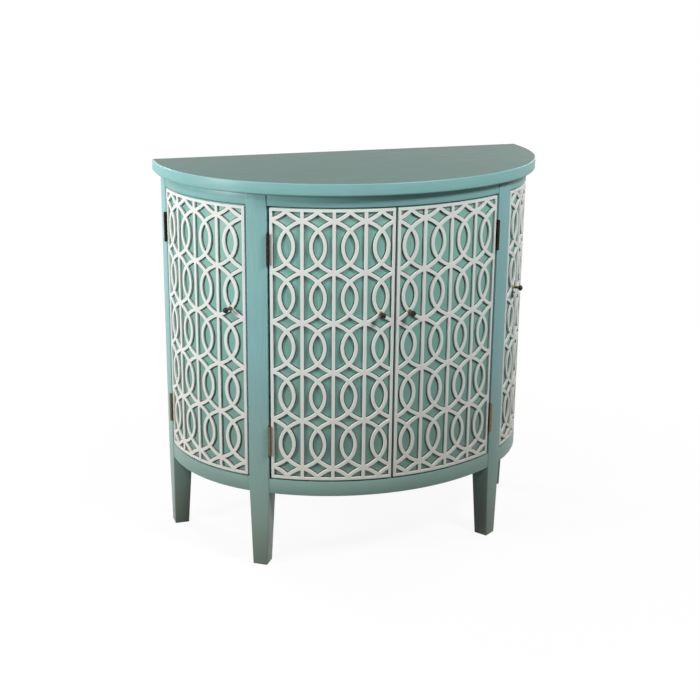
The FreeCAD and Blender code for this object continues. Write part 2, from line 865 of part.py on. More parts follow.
def door_panel(door):
    arc = abs(door.part)
    middle = door.side * (door.hinge + door.free) / 2
    outer = f"({RAIL_OUTER[arc]} - {DOOR_SETBACK})"
    inner = f"{outer} - door_thickness"
    levels = (OPENING_BOTTOM + " + level_gap", OPENING_TOP + " - level_gap")
    return band(door.name + "_door_panel", door.part, middle, DOOR_SPANS[arc], inner, outer, *levels)


# Knobs, on the crossing of two strokes nearest the free edge

knob_height = first_row - ((KNOB_ROW - 0.5) * row_pitch + crossing) * row_stretch


def add_prism(body, name, radius, low, height):
    prism = body.newObject("PartDesign::AdditivePrism", name)
    prism.AttachmentSupport = [(base_plane(body, "XY_Plane"), "")]
    prism.MapMode = "FlatFace"
    bind(prism, "AttachmentOffset.Base.z", low)
    prism.Polygon = KNOB_SIDES
    bind(prism, "Circumradius", radius)
    bind(prism, "Height", height)


def knob(door):
    """A base, a slender stem and a thicker head, drawn upright and laid along the outward line."""
    name = door.name + "_knob"
    body = doc.addObject("PartDesign::Body", name)
    head_low = "knob_length - knob_head_height"
    add_prism(body, name + "_base", "knob_base_radius", "0", "knob_base_height")
    add_prism(body, name + "_stem", "knob_stem_radius", "0", head_low)
    add_prism(body, name + "_head", "knob_head_radius", head_low, "knob_head_height")
    ease(body, level_edges(body, value("knob_length")), "knob_head_ease", name + "_slope")
    direction = outward(door.fret_angle(door.knob_column()))
    place = door.centre + direction * door.fret_front() + vector(0, 0, knob_height)
    body.Placement = FreeCAD.Placement(place, FreeCAD.Rotation(vector(0, 0, 1), direction))
    return body


# Butt hinges. A leaf is drawn about its pin with the piece that carries it towards +X and the
# outside towards +Y, then turned into place.


def rod(radius, low, high):
    """A flat-sided rod about the pin's axis, with a flat towards each leaf."""
    corners = []
    for index in range(BARREL_SIDES + 1):
        turn = math.pi * (2 * index + 1) / BARREL_SIDES
        corners.append(vector(radius * math.cos(turn), radius * math.sin(turn), low))
    return Part.Face(Part.makePolygon(corners)).extrude(vector(0, 0, high - low))


def leaf(plate_distance, plate_depth, own_knuckles):
    """A leaf of one hinge: a plate, and a barrel round the pin at each of its own knuckles.

    A short tab ties each barrel to the plate, wherever the plate lies.
    """
    length = value("hinge_length")
    half = length / 2
    thickness = value("leaf_thickness")
    radius = value("knuckle_radius")
    shoulder = radius + value("knuckle_clearance")
    left = plate_distance - thickness
    parts = [Part.makeBox(thickness, plate_depth - shoulder, length, vector(left, -plate_depth, -half))]
    knuckle = length / KNUCKLES
    gap = value("knuckle_gap") / 2
    for index in own_knuckles:
        low = -half + index * knuckle + (gap if index else 0)
        high = -half + (index + 1) * knuckle - (gap if index < KNUCKLES - 1 else 0)
        parts.append(rod(radius, low, high))
        parts.append(Part.makeBox(thickness, shoulder, high - low, vector(left, -shoulder, low)))
        reach = max(plate_distance, thickness)
        parts.append(Part.makeBox(reach, thickness, high - low, vector(0, -thickness, low)))
    return parts


def frame_leaf(*places):
    """The frame's leaf carries the pin."""
    half = value("hinge_length / 2")
    parts = leaf(*places, range(0, KNUCKLES, 2))
    return parts[0].multiFuse(parts[1:] + [rod(value("pin_radius"), -half, half)]).removeSplitter()


def door_leaf(*places):
    """The door's leaf turns about the pin."""
    half = value("hinge_length / 2")
    parts = leaf(*places, range(1, KNUCKLES, 2))
    bore_radius = value("pin_radius + pin_clearance") / math.cos(math.pi / BARREL_SIDES)
    return parts[0].multiFuse(parts[1:]).cut(rod(bore_radius, -half, half)).removeSplitter()


def turned_leaf(shape, pin, toward, out, height):
    """Place a leaf. Its layout is the same upside down, which gives the other hand."""
    copy = shape.copy()
    if toward.cross(out).z < 0:
        copy.rotate(vector(0, 0), vector(0, 1), HALF_TURN)
        toward = toward * -1
    turn = math.degrees(math.atan2(toward.y, toward.x))
    copy.rotate(vector(0, 0), vector(0, 0, 1), turn)
    copy.translate(pin + vector(0, 0, height))
    return copy


hinge_heights = [
    door_bottom + value("hinge_end_distance"),
    door_top - value("hinge_end_distance"),
]


def pair_of_leaves(label, shape, door, toward, out):
    return group(label, [turned_leaf(shape, door.pin, toward, out, height) for height in hinge_heights])


def door_leaves(door):
    angle = door.side * door.hinge
    out = outward(angle)
    toward = along(angle) * -door.side
    reach = door.pin - door.centre
    shape = door_leaf(-reach.dot(toward), reach.dot(out) - door.radius + value("leaf_depth"))
    return pair_of_leaves(door.name + "_door_hinge_leaves", shape, door, toward, out)


def frame_leaves(door):
    angle = door.side * door.post_angle
    out = outward(angle)
    toward = along(angle) * door.side
    face = (door.pin - door.post_place).dot(out)
    shape = frame_leaf(value("hinge_gap"), face + value("leaf_depth"))
    return pair_of_leaves(door.name + "_frame_hinge_leaves", shape, door, toward, out)


# Catches hang on the inside of the top rails, and each door has a steel strike to meet its catch.


def seat(radius, width):
    """Distance from the arc's centre at which a flat face of a width touches a curve's inside."""
    return math.sqrt(radius**2 - (width / 2) ** 2)


strike_low = door_top - value("strike_drop + strike_height")
strike_high = door_top - value("strike_drop")


def catch_angle(door):
    return door.angle(door.width() - value("catch_edge_distance"))


def strike(door):
    half = value("strike_width") / 2
    face = seat(door.inner, value("strike_width"))
    depth = (face - value("strike_thickness"), face)
    shape = block(door.centre, catch_angle(door), -half, half, *depth, strike_low, strike_high)
    return group(door.name + "_strike_plate", [shape])


def catch(door):
    """A magnet that hangs behind the strike from a foot on the rail's inner face."""
    half = value("catch_width") / 2
    strike_seat = seat(door.inner, value("strike_width"))
    face = strike_seat - value("strike_thickness + catch_gap")
    back = face - value("catch_depth")
    rail_face = seat(door.radius - value("rail_thickness"), value("catch_width"))
    foot_top = opening_top + value("catch_block_height")
    sides = (door.centre, catch_angle(door), -half, half)
    magnet = block(*sides, back, face, strike_low, opening_top)
    foot = block(*sides, back, rail_face, opening_top, foot_top)
    return magnet.fuse(foot).removeSplitter()


for door in DOORS:
    keep(door_panel(door))
    keep(fretwork(door))
    keep(knob(door))
    keep(strike(door))
    keep(door_leaves(door))
    keep(frame_leaves(door))

keep(group("magnetic_catches", [catch(door) for door in DOORS]))

# Recompute, check every object, and write one file for each piece

doc.recompute()
for thing in doc.Objects:
    if "Invalid" in thing.State or "Error" in thing.State:
        raise RuntimeError(f"{thing.Label} failed: {thing.State}")
for piece in pieces:
    if piece.Shape.isNull() or not piece.Shape.isValid():
        raise RuntimeError(f"{piece.Label} has no valid shape")

os.makedirs("parts", exist_ok=True)
for piece in pieces:
    piece.Shape.exportStep(os.path.join("parts", piece.Label + ".step"))
print(len(pieces), "pieces written")
for door in DOORS:
    print(door.name, "pin", [round(number, 3) for number in door.pin], "width", round(door.width(), 2))
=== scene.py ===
import json
import math

import bmesh
import bpy
from mathutils import Matrix, Vector


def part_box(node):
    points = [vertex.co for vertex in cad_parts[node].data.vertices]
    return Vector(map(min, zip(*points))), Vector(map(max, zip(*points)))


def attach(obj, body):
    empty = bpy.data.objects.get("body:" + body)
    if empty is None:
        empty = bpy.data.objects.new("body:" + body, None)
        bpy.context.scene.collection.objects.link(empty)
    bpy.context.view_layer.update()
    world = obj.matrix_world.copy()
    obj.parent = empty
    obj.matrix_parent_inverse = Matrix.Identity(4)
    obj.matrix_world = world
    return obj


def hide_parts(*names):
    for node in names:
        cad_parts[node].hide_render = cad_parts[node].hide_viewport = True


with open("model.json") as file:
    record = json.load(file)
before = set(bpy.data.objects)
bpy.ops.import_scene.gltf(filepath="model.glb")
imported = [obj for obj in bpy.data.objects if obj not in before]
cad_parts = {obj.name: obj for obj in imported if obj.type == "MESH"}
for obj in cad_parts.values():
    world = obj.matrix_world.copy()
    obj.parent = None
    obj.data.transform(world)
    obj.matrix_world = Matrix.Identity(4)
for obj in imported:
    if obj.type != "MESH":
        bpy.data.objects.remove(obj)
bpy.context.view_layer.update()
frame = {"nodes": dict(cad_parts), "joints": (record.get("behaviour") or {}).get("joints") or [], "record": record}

MM = 0.001
FULL_TURN = 2 * math.pi
QUARTER = math.pi / 2

# Corners closer than this count as one, and the fretwork's cuts are held to the finer one

CLOSE = 0.001 * MM
HAIR = 0.0001 * MM

# Plan of the chest: three arcs and two short straights

CENTRE_RADIUS = 490 * MM
SIDE_RADIUS = 323 * MM
JUNCTION = math.radians(34.5)
REAR_STRAIGHT = 42 * MM

# Top, posts, rails and doors

TOP_OVERHANG = 19 * MM
TOP_LOW_ROUND = 4 * MM
TOP_LOW_STEPS = 7
TOP_HIGH_ROUND = 1.8 * MM
TOP_HIGH_STEPS = 4
POST_WIDTH = 45 * MM
REAR_POST_WIDTH = 50 * MM
POST_DEPTH = 45 * MM
POST_PROUD = 1.5 * MM
POST_EASE = 1.8 * MM
LEG_HEIGHT = 175 * MM
FOOT_WIDTH = 33 * MM
RAIL_THICKNESS = 18 * MM
RAIL_EASE = 0.7 * MM
JOINT_DEPTH = 0.5 * MM
DOOR_THICKNESS = 18 * MM
DOOR_EASE = 0.8 * MM
HINGE_GAP = 3.4 * MM
FREE_GAP = 2.8 * MM

# Fretwork, as measured on the flattened doors

COLUMNS = 4
ROWS = 5
FRET_THICKNESS = 5 * MM
FRET_EDGE_INSET = 1.4 * MM
FRET_HINGE_INSET = 2.2 * MM
FRET_SETBACK = 0.3 * MM
FRET_SEAT = 0.3 * MM
FRET_BORDER = 6.2 * MM
COLUMN_PITCH = 66.5 * MM
ROW_PITCH = 108.75 * MM
OVAL_RADIUS = 48.1 * MM
HALF_STROKE = 3.8 * MM
HALF_BAR = 3.65 * MM
FIRST_ROW_DROP = 25.2 * MM
SMALLEST_HOLE_SIDE = 5 * MM
EDGE_EASE = 0.6 * MM
EDGE_EASE_SHARES = (0, 0.25, 1)
SHEET_STRIPS = 48
# The dark band round the fretwork's holes: partly glaze, partly painted shade
GLAZE_AND_SHADE_HEIGHT = 1 * MM
GLAZE_AND_SHADE_WIDTH = 1.8 * MM
GLAZE_AND_SHADE_LIFT = 0.06 * MM
SIDE_COLUMN_DISTANCE = 3.3 * MM
CENTRE_HINGE_COLUMN_DISTANCE = 2 * MM
CENTRE_FREE_COLUMN_DISTANCE = -3.85 * MM
KNOB_ROW = 2

# Places that follow from these sizes and from the frame

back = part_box("back_top_rail")[1].y
top_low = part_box("top_panel")[0].z
top_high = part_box("top_panel")[1].z
door_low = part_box("centre_left_door_panel")[0].z
door_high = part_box("centre_left_door_panel")[1].z
side_centre_x = (CENTRE_RADIUS - SIDE_RADIUS) * math.sin(JUNCTION)
side_centre_y = back - REAR_STRAIGHT
front_centre_y = side_centre_y + (CENTRE_RADIUS - SIDE_RADIUS) * math.cos(JUNCTION)
half_width = side_centre_x + SIDE_RADIUS


def outward(angle):
    """Away from the chest at an angle of its plan, which is 0 at the front and grows to the right."""
    return Vector((math.sin(angle), -math.cos(angle), 0))


def along(angle):
    """Along the chest's face at an angle, towards the right."""
    return Vector((math.cos(angle), math.sin(angle), 0))


def arc_centre(bay):
    """Centre of a bay's arc: -1 is the left side, 0 the front and 1 the right side."""
    if bay == 0:
        return Vector((0, front_centre_y, 0))
    return Vector((bay * side_centre_x, side_centre_y, 0))


def arc_radius(bay):
    return CENTRE_RADIUS if bay == 0 else SIDE_RADIUS


class Door:
    """A curved door, hinged on its side: -1 is the left and 1 the right.

    Its free and hinge angles are counted from the front, outwards to that side. The columns of its
    fretwork keep a distance from the sheet's hinge edge and free edge.
    """

    def __init__(self, name, side, bay, first_column, last_column):
        self.name = name
        self.body = name + "_door"
        self.side = side
        self.bay = bay
        self.radius = arc_radius(bay)
        self.face = self.radius - FRET_SETBACK - FRET_THICKNESS
        self.centre = arc_centre(bay)
        if bay == 0:
            self.free = FREE_GAP / 2 / self.radius
            self.hinge = JUNCTION - (POST_WIDTH / 2 + HINGE_GAP) / self.radius
            self.post_angle = side * JUNCTION
        else:
            self.free = JUNCTION + (POST_WIDTH / 2 + FREE_GAP) / self.radius
            self.hinge = QUARTER - (REAR_POST_WIDTH - REAR_STRAIGHT + HINGE_GAP) / self.radius
            self.post_angle = side * QUARTER
        self.width = (self.hinge - self.free) * self.radius
        self.first_column = first_column
        sheet_width = self.width - FRET_HINGE_INSET - FRET_EDGE_INSET
        self.pitch = (sheet_width - first_column - last_column) / COLUMNS
        self.knob_length = FRET_HINGE_INSET + first_column + (COLUMNS - 0.5) * self.pitch
        joint = next(j for j in frame["joints"] if j["child"] == self.body)
        self.pin = Vector(joint["pos_m"])
        self.pin.z = 0

    def angle(self, length):
        """Angle at a length of arc from the hinge edge."""
        return self.side * (self.hinge - length / self.radius)

    def place(self, length, out, height):
        """A point by its arc length from the hinge edge, its distance out and its height."""
        return self.centre + outward(self.angle(length)) * (self.face + out) + Vector((0, 0, height))


side_columns = (SIDE_COLUMN_DISTANCE, SIDE_COLUMN_DISTANCE)
centre_columns = (CENTRE_HINGE_COLUMN_DISTANCE, CENTRE_FREE_COLUMN_DISTANCE)
DOORS = [
    Door("left", -1, -1, *side_columns),
    Door("centre_left", -1, 0, *centre_columns),
    Door("centre_right", 1, 0, *centre_columns),
    Door("right", 1, 1, *side_columns),
]

# Finishes. A grain stretches the brush marks along its largest axis.

UPRIGHT_GRAIN = (1, 1, 14)
LEVEL_GRAIN = (14, 14, 1)
TOP_GRAIN = (14, 1, 1)
PAINT_SPECULAR = 0.25
PAINT_SMOOTHER = 0.06
PAINT_ROUGHER = 0.08
CLOUD_SCALE = 7
CLOUD_RANGE = (0.35, 0.75)
CLOUD_SHARE = 0.55
STREAK_SCALE = 260
STREAK_RANGE = (0.45, 0.8)
STREAK_SHARE = 0.4
STREAK_DEPTH = 0.12 * MM
PAINT_GRIT_SCALE = 900
PAINT_GRIT_DEPTH = 0.05 * MM
# Painted shade low down, for paints given a low colour, and a darker painted shade near the floor
LOW_SHADE_TOP = 500 * MM
LOW_SHADE_FULL = 60 * MM
LOW_SHADE_SHARE = 0.9
FOOT_SHADE = "5f6054"
FOOT_SHADE_TOP = 100 * MM
FOOT_SHADE_SHARE = 0.45
METAL_SMOOTHER = 0.08
METAL_ROUGHER = 0.12
WEAR_SCALE = 420
WEAR_RANGE = (0.48, 0.7)
METAL_GRIT_SCALE = 1500
METAL_GRIT_DEPTH = 0.03 * MM
PLASTIC_GRIT_SCALE = 1200
PLASTIC_GRIT_DEPTH = 0.04 * MM
GLOSS_RANGE = (0.3, 0.7)

# Sockets of a Mix node that blends colours

MIX_SHARE = 0
MIX_FIRST = 6
MIX_SECOND = 7
MIX_RESULT = 2


class Finish:
    """A material, built up from its base colour by a few surface effects."""

    def __init__(self, name, colour, roughness, metallic=0):
        self.material = bpy.data.materials.new(name)
        self.material.use_nodes = True
        self.nodes = self.material.node_tree.nodes
        self.shader = self.nodes["Principled BSDF"]
        self.shader.inputs["Base Color"].default_value = (*colour, 1)
        self.shader.inputs["Roughness"].default_value = roughness
        self.shader.inputs["Metallic"].default_value = metallic
        self.colour = colour
        self.coordinates = self.nodes.new("ShaderNodeTexCoord").outputs["Object"]

    def link(self, source, target):
        self.material.node_tree.links.new(source, target)

    def noise(self, scale, detail=4, stretch=(1, 1, 1), roughness=0.5):
        """Noise from 0 to 1, with its grain drawn out by a stretch along each axis."""
        mapping = self.nodes.new("ShaderNodeMapping")
        mapping.inputs["Scale"].default_value = [1 / s for s in stretch]
        texture = self.nodes.new("ShaderNodeTexNoise")
        texture.inputs["Scale"].default_value = scale
        texture.inputs["Detail"].default_value = detail
        texture.inputs["Roughness"].default_value = roughness
        self.link(self.coordinates, mapping.inputs["Vector"])
        self.link(mapping.outputs["Vector"], texture.inputs["Vector"])
        return texture.outputs["Fac"]

    def level(self):
        """Height above the floor."""
        split = self.nodes.new("ShaderNodeSeparateXYZ")
        self.link(self.coordinates, split.inputs[0])
        return split.outputs["Z"]

    def ranged(self, source, low, high, out_low, out_high):
        """Spread the source's values from low to high over a new range."""
        node = self.nodes.new("ShaderNodeMapRange")
        for index, number in enumerate((low, high, out_low, out_high), start=1):
            node.inputs[index].default_value = number
        self.link(source, node.inputs[0])
        return node.outputs[0]

    def tint(self, source, colour):
        """Blend another colour into the base colour where the source is high."""
        mix = self.nodes.new("ShaderNodeMix")
        mix.data_type = "RGBA"
        target = self.shader.inputs["Base Color"]
        if target.links:
            self.link(target.links[0].from_socket, mix.inputs[MIX_FIRST])
        else:
            mix.inputs[MIX_FIRST].default_value = (*self.colour, 1)
        mix.inputs[MIX_SECOND].default_value = (*colour, 1)
        self.link(source, mix.inputs[MIX_SHARE])
        self.link(mix.outputs[MIX_RESULT], target)

    def vary_roughness(self, source, low, high):
        """Let the gloss follow the source: smooth where it is low, rough where it is high."""
        self.link(self.ranged(source, *GLOSS_RANGE, low, high), self.shader.inputs["Roughness"])

    def bump(self, source, depth, strength):
        """Raise the surface where the source is high, on top of any bump it has."""
        node = self.nodes.new("ShaderNodeBump")
        node.inputs["Distance"].default_value = depth
        node.inputs["Strength"].default_value = strength
        self.link(source, node.inputs["Height"])
        if self.shader.inputs["Normal"].links:
            self.link(self.shader.inputs["Normal"].links[0].from_socket, node.inputs["Normal"])
        self.link(node.outputs["Normal"], self.shader.inputs["Normal"])


def linear(hex_colour):
    """Linear colour from a screen colour written as six hex digits."""
    levels = [int(hex_colour[i : i + 2], 16) / 255 for i in (0, 2, 4)]
    return [((c + 0.055) / 1.055) ** 2.4 if c > 0.04045 else c / 12.92 for c in levels]


def brushed_paint(
    name, colour, cloud, streak, roughness=0.42, grain=UPRIGHT_GRAIN, low=None, specular=PAINT_SPECULAR
):
    """Satin paint, laid on by brush: slow clouds of tone, fine streaks and a little texture.

    A low colour is painted shade: the paint turns darker and greyer towards the feet, and darker still near the
    floor.
    """
    paint = Finish(name, linear(colour), roughness)
    paint.shader.inputs["Specular IOR Level"].default_value = specular
    clouds = paint.noise(CLOUD_SCALE, detail=3)
    streaks = paint.noise(STREAK_SCALE, detail=4, stretch=grain, roughness=0.6)
    paint.tint(paint.ranged(clouds, *CLOUD_RANGE, 0, CLOUD_SHARE), linear(cloud))
    paint.tint(paint.ranged(streaks, *STREAK_RANGE, 0, STREAK_SHARE), linear(streak))
    # Painted shade towards the feet
    if low:
        low_shade = paint.ranged(paint.level(), LOW_SHADE_TOP, LOW_SHADE_FULL, 0, LOW_SHADE_SHARE)
        paint.tint(low_shade, linear(low))
        foot_shade = paint.ranged(paint.level(), FOOT_SHADE_TOP, 0, 0, FOOT_SHADE_SHARE)
        paint.tint(foot_shade, linear(FOOT_SHADE))
    paint.vary_roughness(streaks, roughness - PAINT_SMOOTHER, roughness + PAINT_ROUGHER)
    paint.bump(streaks, STREAK_DEPTH, strength=0.5)
    paint.bump(paint.noise(PAINT_GRIT_SCALE, detail=2), PAINT_GRIT_DEPTH, strength=0.4)
    return paint.material


def metal(name, colour, worn, roughness, metallic=1, wear=0.4):
    """Metal with worn or tarnished patches and a fine grit."""
    finish = Finish(name, linear(colour), roughness, metallic)
    patches = finish.noise(WEAR_SCALE, detail=4)
    finish.tint(finish.ranged(patches, *WEAR_RANGE, 0, wear), linear(worn))
    finish.vary_roughness(patches, roughness - METAL_SMOOTHER, roughness + METAL_ROUGHER)
    finish.bump(finish.noise(METAL_GRIT_SCALE, detail=2), METAL_GRIT_DEPTH, strength=0.4)
    return finish.material


def moulded_plastic(name, colour, roughness):
    """Plastic with the fine texture of its mould."""
    finish = Finish(name, linear(colour), roughness)
    finish.bump(finish.noise(PLASTIC_GRIT_SCALE, detail=2), PLASTIC_GRIT_DEPTH, strength=0.5)
    return finish.material


# Paints given a low colour are painted darker towards the feet: painted shade
TEAL = brushed_paint("teal_paint", "87b5b5", "7ba9a7", "9ac4c3", low="8a9b8d")
TEAL_RAIL = brushed_paint(
    "teal_rail", "7eb1af", "72a3a0", "91c0be", grain=LEVEL_GRAIN, low="7d8e7f", specular=0.5
)
# Painted highlight: a lighter copy of the teal for the eased edges of the posts
TEAL_EDGE_HIGHLIGHT = brushed_paint("teal_edge", "8fbdbf", "82b0b2", "a4cbcc", low="8c9f96")
# Painted shade: the slab's upward face gets a darker, greyer copy of the teal
SHADED_TEAL_TOP = brushed_paint("teal_top", "5e7872", "63726a", "68847e", grain=TOP_GRAIN, specular=0.14)
TEAL_PANEL = brushed_paint(
    "teal_door_panel", "74aa9f", "7ba094", "86b8ac", roughness=0.5, low="78928a", specular=0.5
)
# Dark glaze in the fretwork's corners, which also paints their shade: partly glaze, partly painted shade
GLAZE_AND_CORNER_SHADE = brushed_paint("corner_glaze", "313f38", "526c62", "262e28", roughness=0.55)
WHITE = brushed_paint("white_fretwork", "e6e8e4", "dcdfdb", "eff0ed", roughness=0.5, low="d9d5cb")
INSIDE = brushed_paint("teal_inside", "7aa9a8", "6b9c9b", "88b4b2", roughness=0.55)
BRASS = metal("antique_brass", "716450", "3a3329", 0.38, wear=0.7)
BLACKENED = metal("blackened_bronze", "2a2622", "5b4a34", 0.38)
BRONZE = metal("stem_bronze", "6f5f45", "3c3226", 0.32)
KNOB_BLACK = metal("knob_black", "15130f", "2b251c", 0.22, metallic=0.6, wear=0.25)
STEEL = metal("zinc_steel", "b9b9b4", "9a9a94", 0.34)
CATCH_BROWN = moulded_plastic("catch_plastic", "5a4634", 0.5)

# Making pieces

OUTLINE_STEP = math.radians(1.5)
BOARD_STEP = math.radians(0.75)
FEWEST_STEPS = 8
SHARP_CORNER = math.radians(45)
UPWARD = 0.99
FRONT_BAND = 0.5 * MM


def finish_piece(name, shape, body, materials, replaces=(), sharp=35):
    """Turn a bmesh into a piece that rides on a body."""
    bmesh.ops.recalc_face_normals(shape, faces=shape.faces)
    mesh = bpy.data.meshes.new(name)
    shape.to_mesh(mesh)
    shape.free()
    for material in materials:
        mesh.materials.append(material)
    mesh.shade_smooth()
    mesh.set_sharp_from_angle(angle=math.radians(sharp))
    piece = bpy.data.objects.new(name, mesh)
    bpy.context.scene.collection.objects.link(piece)
    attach(piece, body)
    if replaces:
        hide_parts(*replaces)


def join(shape, other, matrix):
    """Move another bmesh into place and add it to a shape."""
    bmesh.ops.transform(other, matrix=matrix, verts=other.verts)
    mesh = bpy.data.meshes.new("joined")
    other.to_mesh(mesh)
    other.free()
    shape.from_mesh(mesh)
    bpy.data.meshes.remove(mesh)


def everything(shape):
    return [*shape.verts, *shape.edges, *shape.faces]


def only_corners(items):
    return [item for item in items if isinstance(item, bmesh.types.BMVert)]


def only_edges(items):
    return [item for item in items if isinstance(item, bmesh.types.BMEdge)]


def add_box(shape, low, high):
    """Add a box between its lowest and highest corners."""
    size = Vector(high) - Vector(low)
    middle = (Vector(high) + Vector(low)) / 2
    place = Matrix.Translation(middle) @ Matrix.Diagonal((*size, 1))
    bmesh.ops.create_cube(shape, size=1, matrix=place)


def raise_face(shape, face, move):
    """Draw a face out by a move. The result is the corners of its new place."""
    made = bmesh.ops.extrude_face_region(shape, geom=[face, *face.edges, *face.verts])["geom"]
    corners = only_corners(made)
    bmesh.ops.translate(shape, vec=move, verts=corners)
    return corners


def bevel(shape, edges, width, segments=3, material=-1):
    """Round edges off. The new faces keep their neighbours' material unless one is given."""
    bmesh.ops.bevel(
        shape, geom=edges, offset=width, segments=segments, affect="EDGES", profile=0.5,
        material=material,
    )


def half_oval(offset, height):
    """The plan's outline at an offset and height, from the right end of the back to the left."""
    right = half_width + offset
    points = [Vector((right, back, height))]
    for bay, start, end in ((1, QUARTER, JUNCTION), (0, JUNCTION, -JUNCTION), (-1, -JUNCTION, -QUARTER)):
        steps = round(abs(end - start) / OUTLINE_STEP)
        first = 0 if bay == 1 else 1
        for index in range(first, steps + 1):
            angle = start + (end - start) * index / steps
            reach = outward(angle) * (arc_radius(bay) + offset)
            points.append(arc_centre(bay) + reach + Vector((0, 0, height)))
    points.append(Vector((-right, back, height)))
    return points


def set_upright(shape, place, angle):
    """Turn an upright piece about Z to face outwards at an angle, and set it in place."""
    turn = Matrix.Translation(place) @ Matrix.Rotation(angle, 4, "Z")
    bmesh.ops.transform(shape, matrix=turn, verts=shape.verts)


def make_top():
    """The slab: a wide round along its lower edge and a small one above. Its back stays square."""
    shape = bmesh.new()
    underside = shape.faces.new([shape.verts.new(point) for point in half_oval(TOP_OVERHANG, top_low)])
    raise_face(shape, underside, (0, 0, top_high - top_low))
    rounds = ((top_low, TOP_LOW_ROUND, TOP_LOW_STEPS), (top_high, TOP_HIGH_ROUND, TOP_HIGH_STEPS))
    for level, width, steps in rounds:
        rim = [
            edge for edge in shape.edges
            if all(abs(corner.co.z - level) < CLOSE for corner in edge.verts)
            and any(corner.co.y < back - CLOSE for corner in edge.verts)
        ]
        bevel(shape, rim, width, segments=steps)
    bmesh.ops.recalc_face_normals(shape, faces=shape.faces)
    # Faces that look up get the darker top teal, a painted shade
    for face in shape.faces:
        faces_up = face.normal.z > UPWARD
        face.material_index = 1 if faces_up else 0
    finish_piece("top_slab", shape, "carcass", [TEAL_RAIL, SHADED_TEAL_TOP], ["top_panel"])


def make_post(name, width, place, angle):
    """A square post that runs down into a tapered leg, with its upright edges eased."""
    half = width / 2
    shape = bmesh.new()
    add_box(shape, (-half, -POST_PROUD, LEG_HEIGHT), (half, POST_DEPTH - POST_PROUD, top_low))
    knee = min(shape.faces, key=lambda face: face.calc_center_median().z)
    foot = raise_face(shape, knee, (0, POST_PROUD, -LEG_HEIGHT))
    bmesh.ops.scale(shape, vec=(FOOT_WIDTH / width, FOOT_WIDTH / POST_DEPTH, 1), verts=foot)
    eased = [
        edge for edge in shape.edges
        if set(edge.verts) <= set(foot) or abs(edge.verts[0].co.z - edge.verts[1].co.z) > CLOSE
    ]
    # The eased edges get the lighter teal, a painted highlight
    bevel(shape, eased, POST_EASE, material=1)
    set_upright(shape, place, angle)
    finish_piece(name + "_post", shape, "carcass", [TEAL, TEAL_EDGE_HIGHLIGHT], [name + "_leg"])


def curved_board(bay, start, end, inner, outer, low, high, ease):
    """A board bent to an arc between two angles, with eased edges."""
    steps = max(FEWEST_STEPS, round(abs(end - start) / BOARD_STEP))
    centre = arc_centre(bay)
    shape = bmesh.new()
    corners = [
        centre + outward(start) * radius + Vector((0, 0, height))
        for radius, height in ((inner, low), (outer, low), (outer, high), (inner, high))
    ]
    section = shape.faces.new([shape.verts.new(corner) for corner in corners])
    bmesh.ops.spin(
        shape, geom=[section, *section.edges, *section.verts], cent=centre, axis=(0, 0, 1),
        angle=end - start, steps=steps, use_merge=False, use_duplicate=False,
    )
    bmesh.ops.recalc_face_normals(shape, faces=shape.faces)
    rims = [edge for edge in shape.edges if edge.is_manifold and edge.calc_face_angle(0) > SHARP_CORNER]
    bevel(shape, rims, ease, segments=2)
    return shape


def square_end(shape, bay, angle, toward):
    """Cut a rail square, a joint's depth inside its post. Toward is -1 at its left end, else 1."""
    half = REAR_POST_WIDTH - REAR_STRAIGHT if abs(angle) == QUARTER else POST_WIDTH / 2
    arc_end = arc_centre(bay) + outward(angle) * arc_radius(bay)
    place = arc_end - along(angle) * toward * (half - JOINT_DEPTH)
    made = bmesh.ops.bisect_plane(
        shape, geom=everything(shape), plane_co=place, plane_no=along(angle) * toward, clear_outer=True
    )
    bmesh.ops.holes_fill(shape, edges=only_edges(made["geom_cut"]))


def make_rails():
    """Three curved rails at each level, each cut square against the posts at its ends."""
    levels = {
        "bottom": (LEG_HEIGHT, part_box("bottom_rails")[1].z),
        "top": (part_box("top_rails")[0].z, top_low),
    }
    bays = {
        "left": (-1, -QUARTER, -JUNCTION),
        "centre": (0, -JUNCTION, JUNCTION),
        "right": (1, JUNCTION, QUARTER),
    }
    for level, (low, high) in levels.items():
        for word, (bay, start, end) in bays.items():
            radius = arc_radius(bay)
            shape = curved_board(bay, start, end, radius - RAIL_THICKNESS, radius, low, high, RAIL_EASE)
            square_end(shape, bay, start, -1)
            square_end(shape, bay, end, 1)
            stands_for = [level + "_rails"] if bay == 0 else []
            finish_piece(f"{word}_{level}_rail", shape, "carcass", [TEAL_RAIL], stands_for)


def make_door_panel(door):
    """A curved board. Its front, behind the fretwork, has a ground colour of its own."""
    shape = curved_board(
        door.bay, door.angle(0), door.angle(door.width), door.face - DOOR_THICKNESS, door.face,
        door_low, door_high, DOOR_EASE,
    )
    for face in shape.faces:
        middle = face.calc_center_median() - door.centre
        middle.z = 0
        in_front = middle.length > door.face - FRONT_BAND
        face.material_index = 0 if in_front else 1
    finish_piece(
        door.name + "_panel", shape, door.body, [TEAL_PANEL, INSIDE],
        [door.name + "_door_panel"],
    )


# Fretwork outlines. Each oval is centred on a bar, midway between two node lines. Its sides are
# arcs about that centre as far as the crossings with the next ovals, and flatter arcs, tangent
# there, carry on to a point on the node line.

LENS_STEPS = 12
DIAMOND_STEPS = 4
SHOULDER_STEPS = 5
WAIST_STEPS = 16
HALVINGS = 40

crossing = math.sqrt(OVAL_RADIUS**2 - (COLUMN_PITCH / 2) ** 2)
rise = crossing - ROW_PITCH / 2
shoulder_radius = (
    ((COLUMN_PITCH / 2) ** 2 + rise**2) * OVAL_RADIUS
    / (2 * ((COLUMN_PITCH / 2) ** 2 + rise * crossing))
)
shoulder_x = COLUMN_PITCH / 2 * (1 - shoulder_radius / OVAL_RADIUS)
shoulder_y = crossing * (1 - shoulder_radius / OVAL_RADIUS)


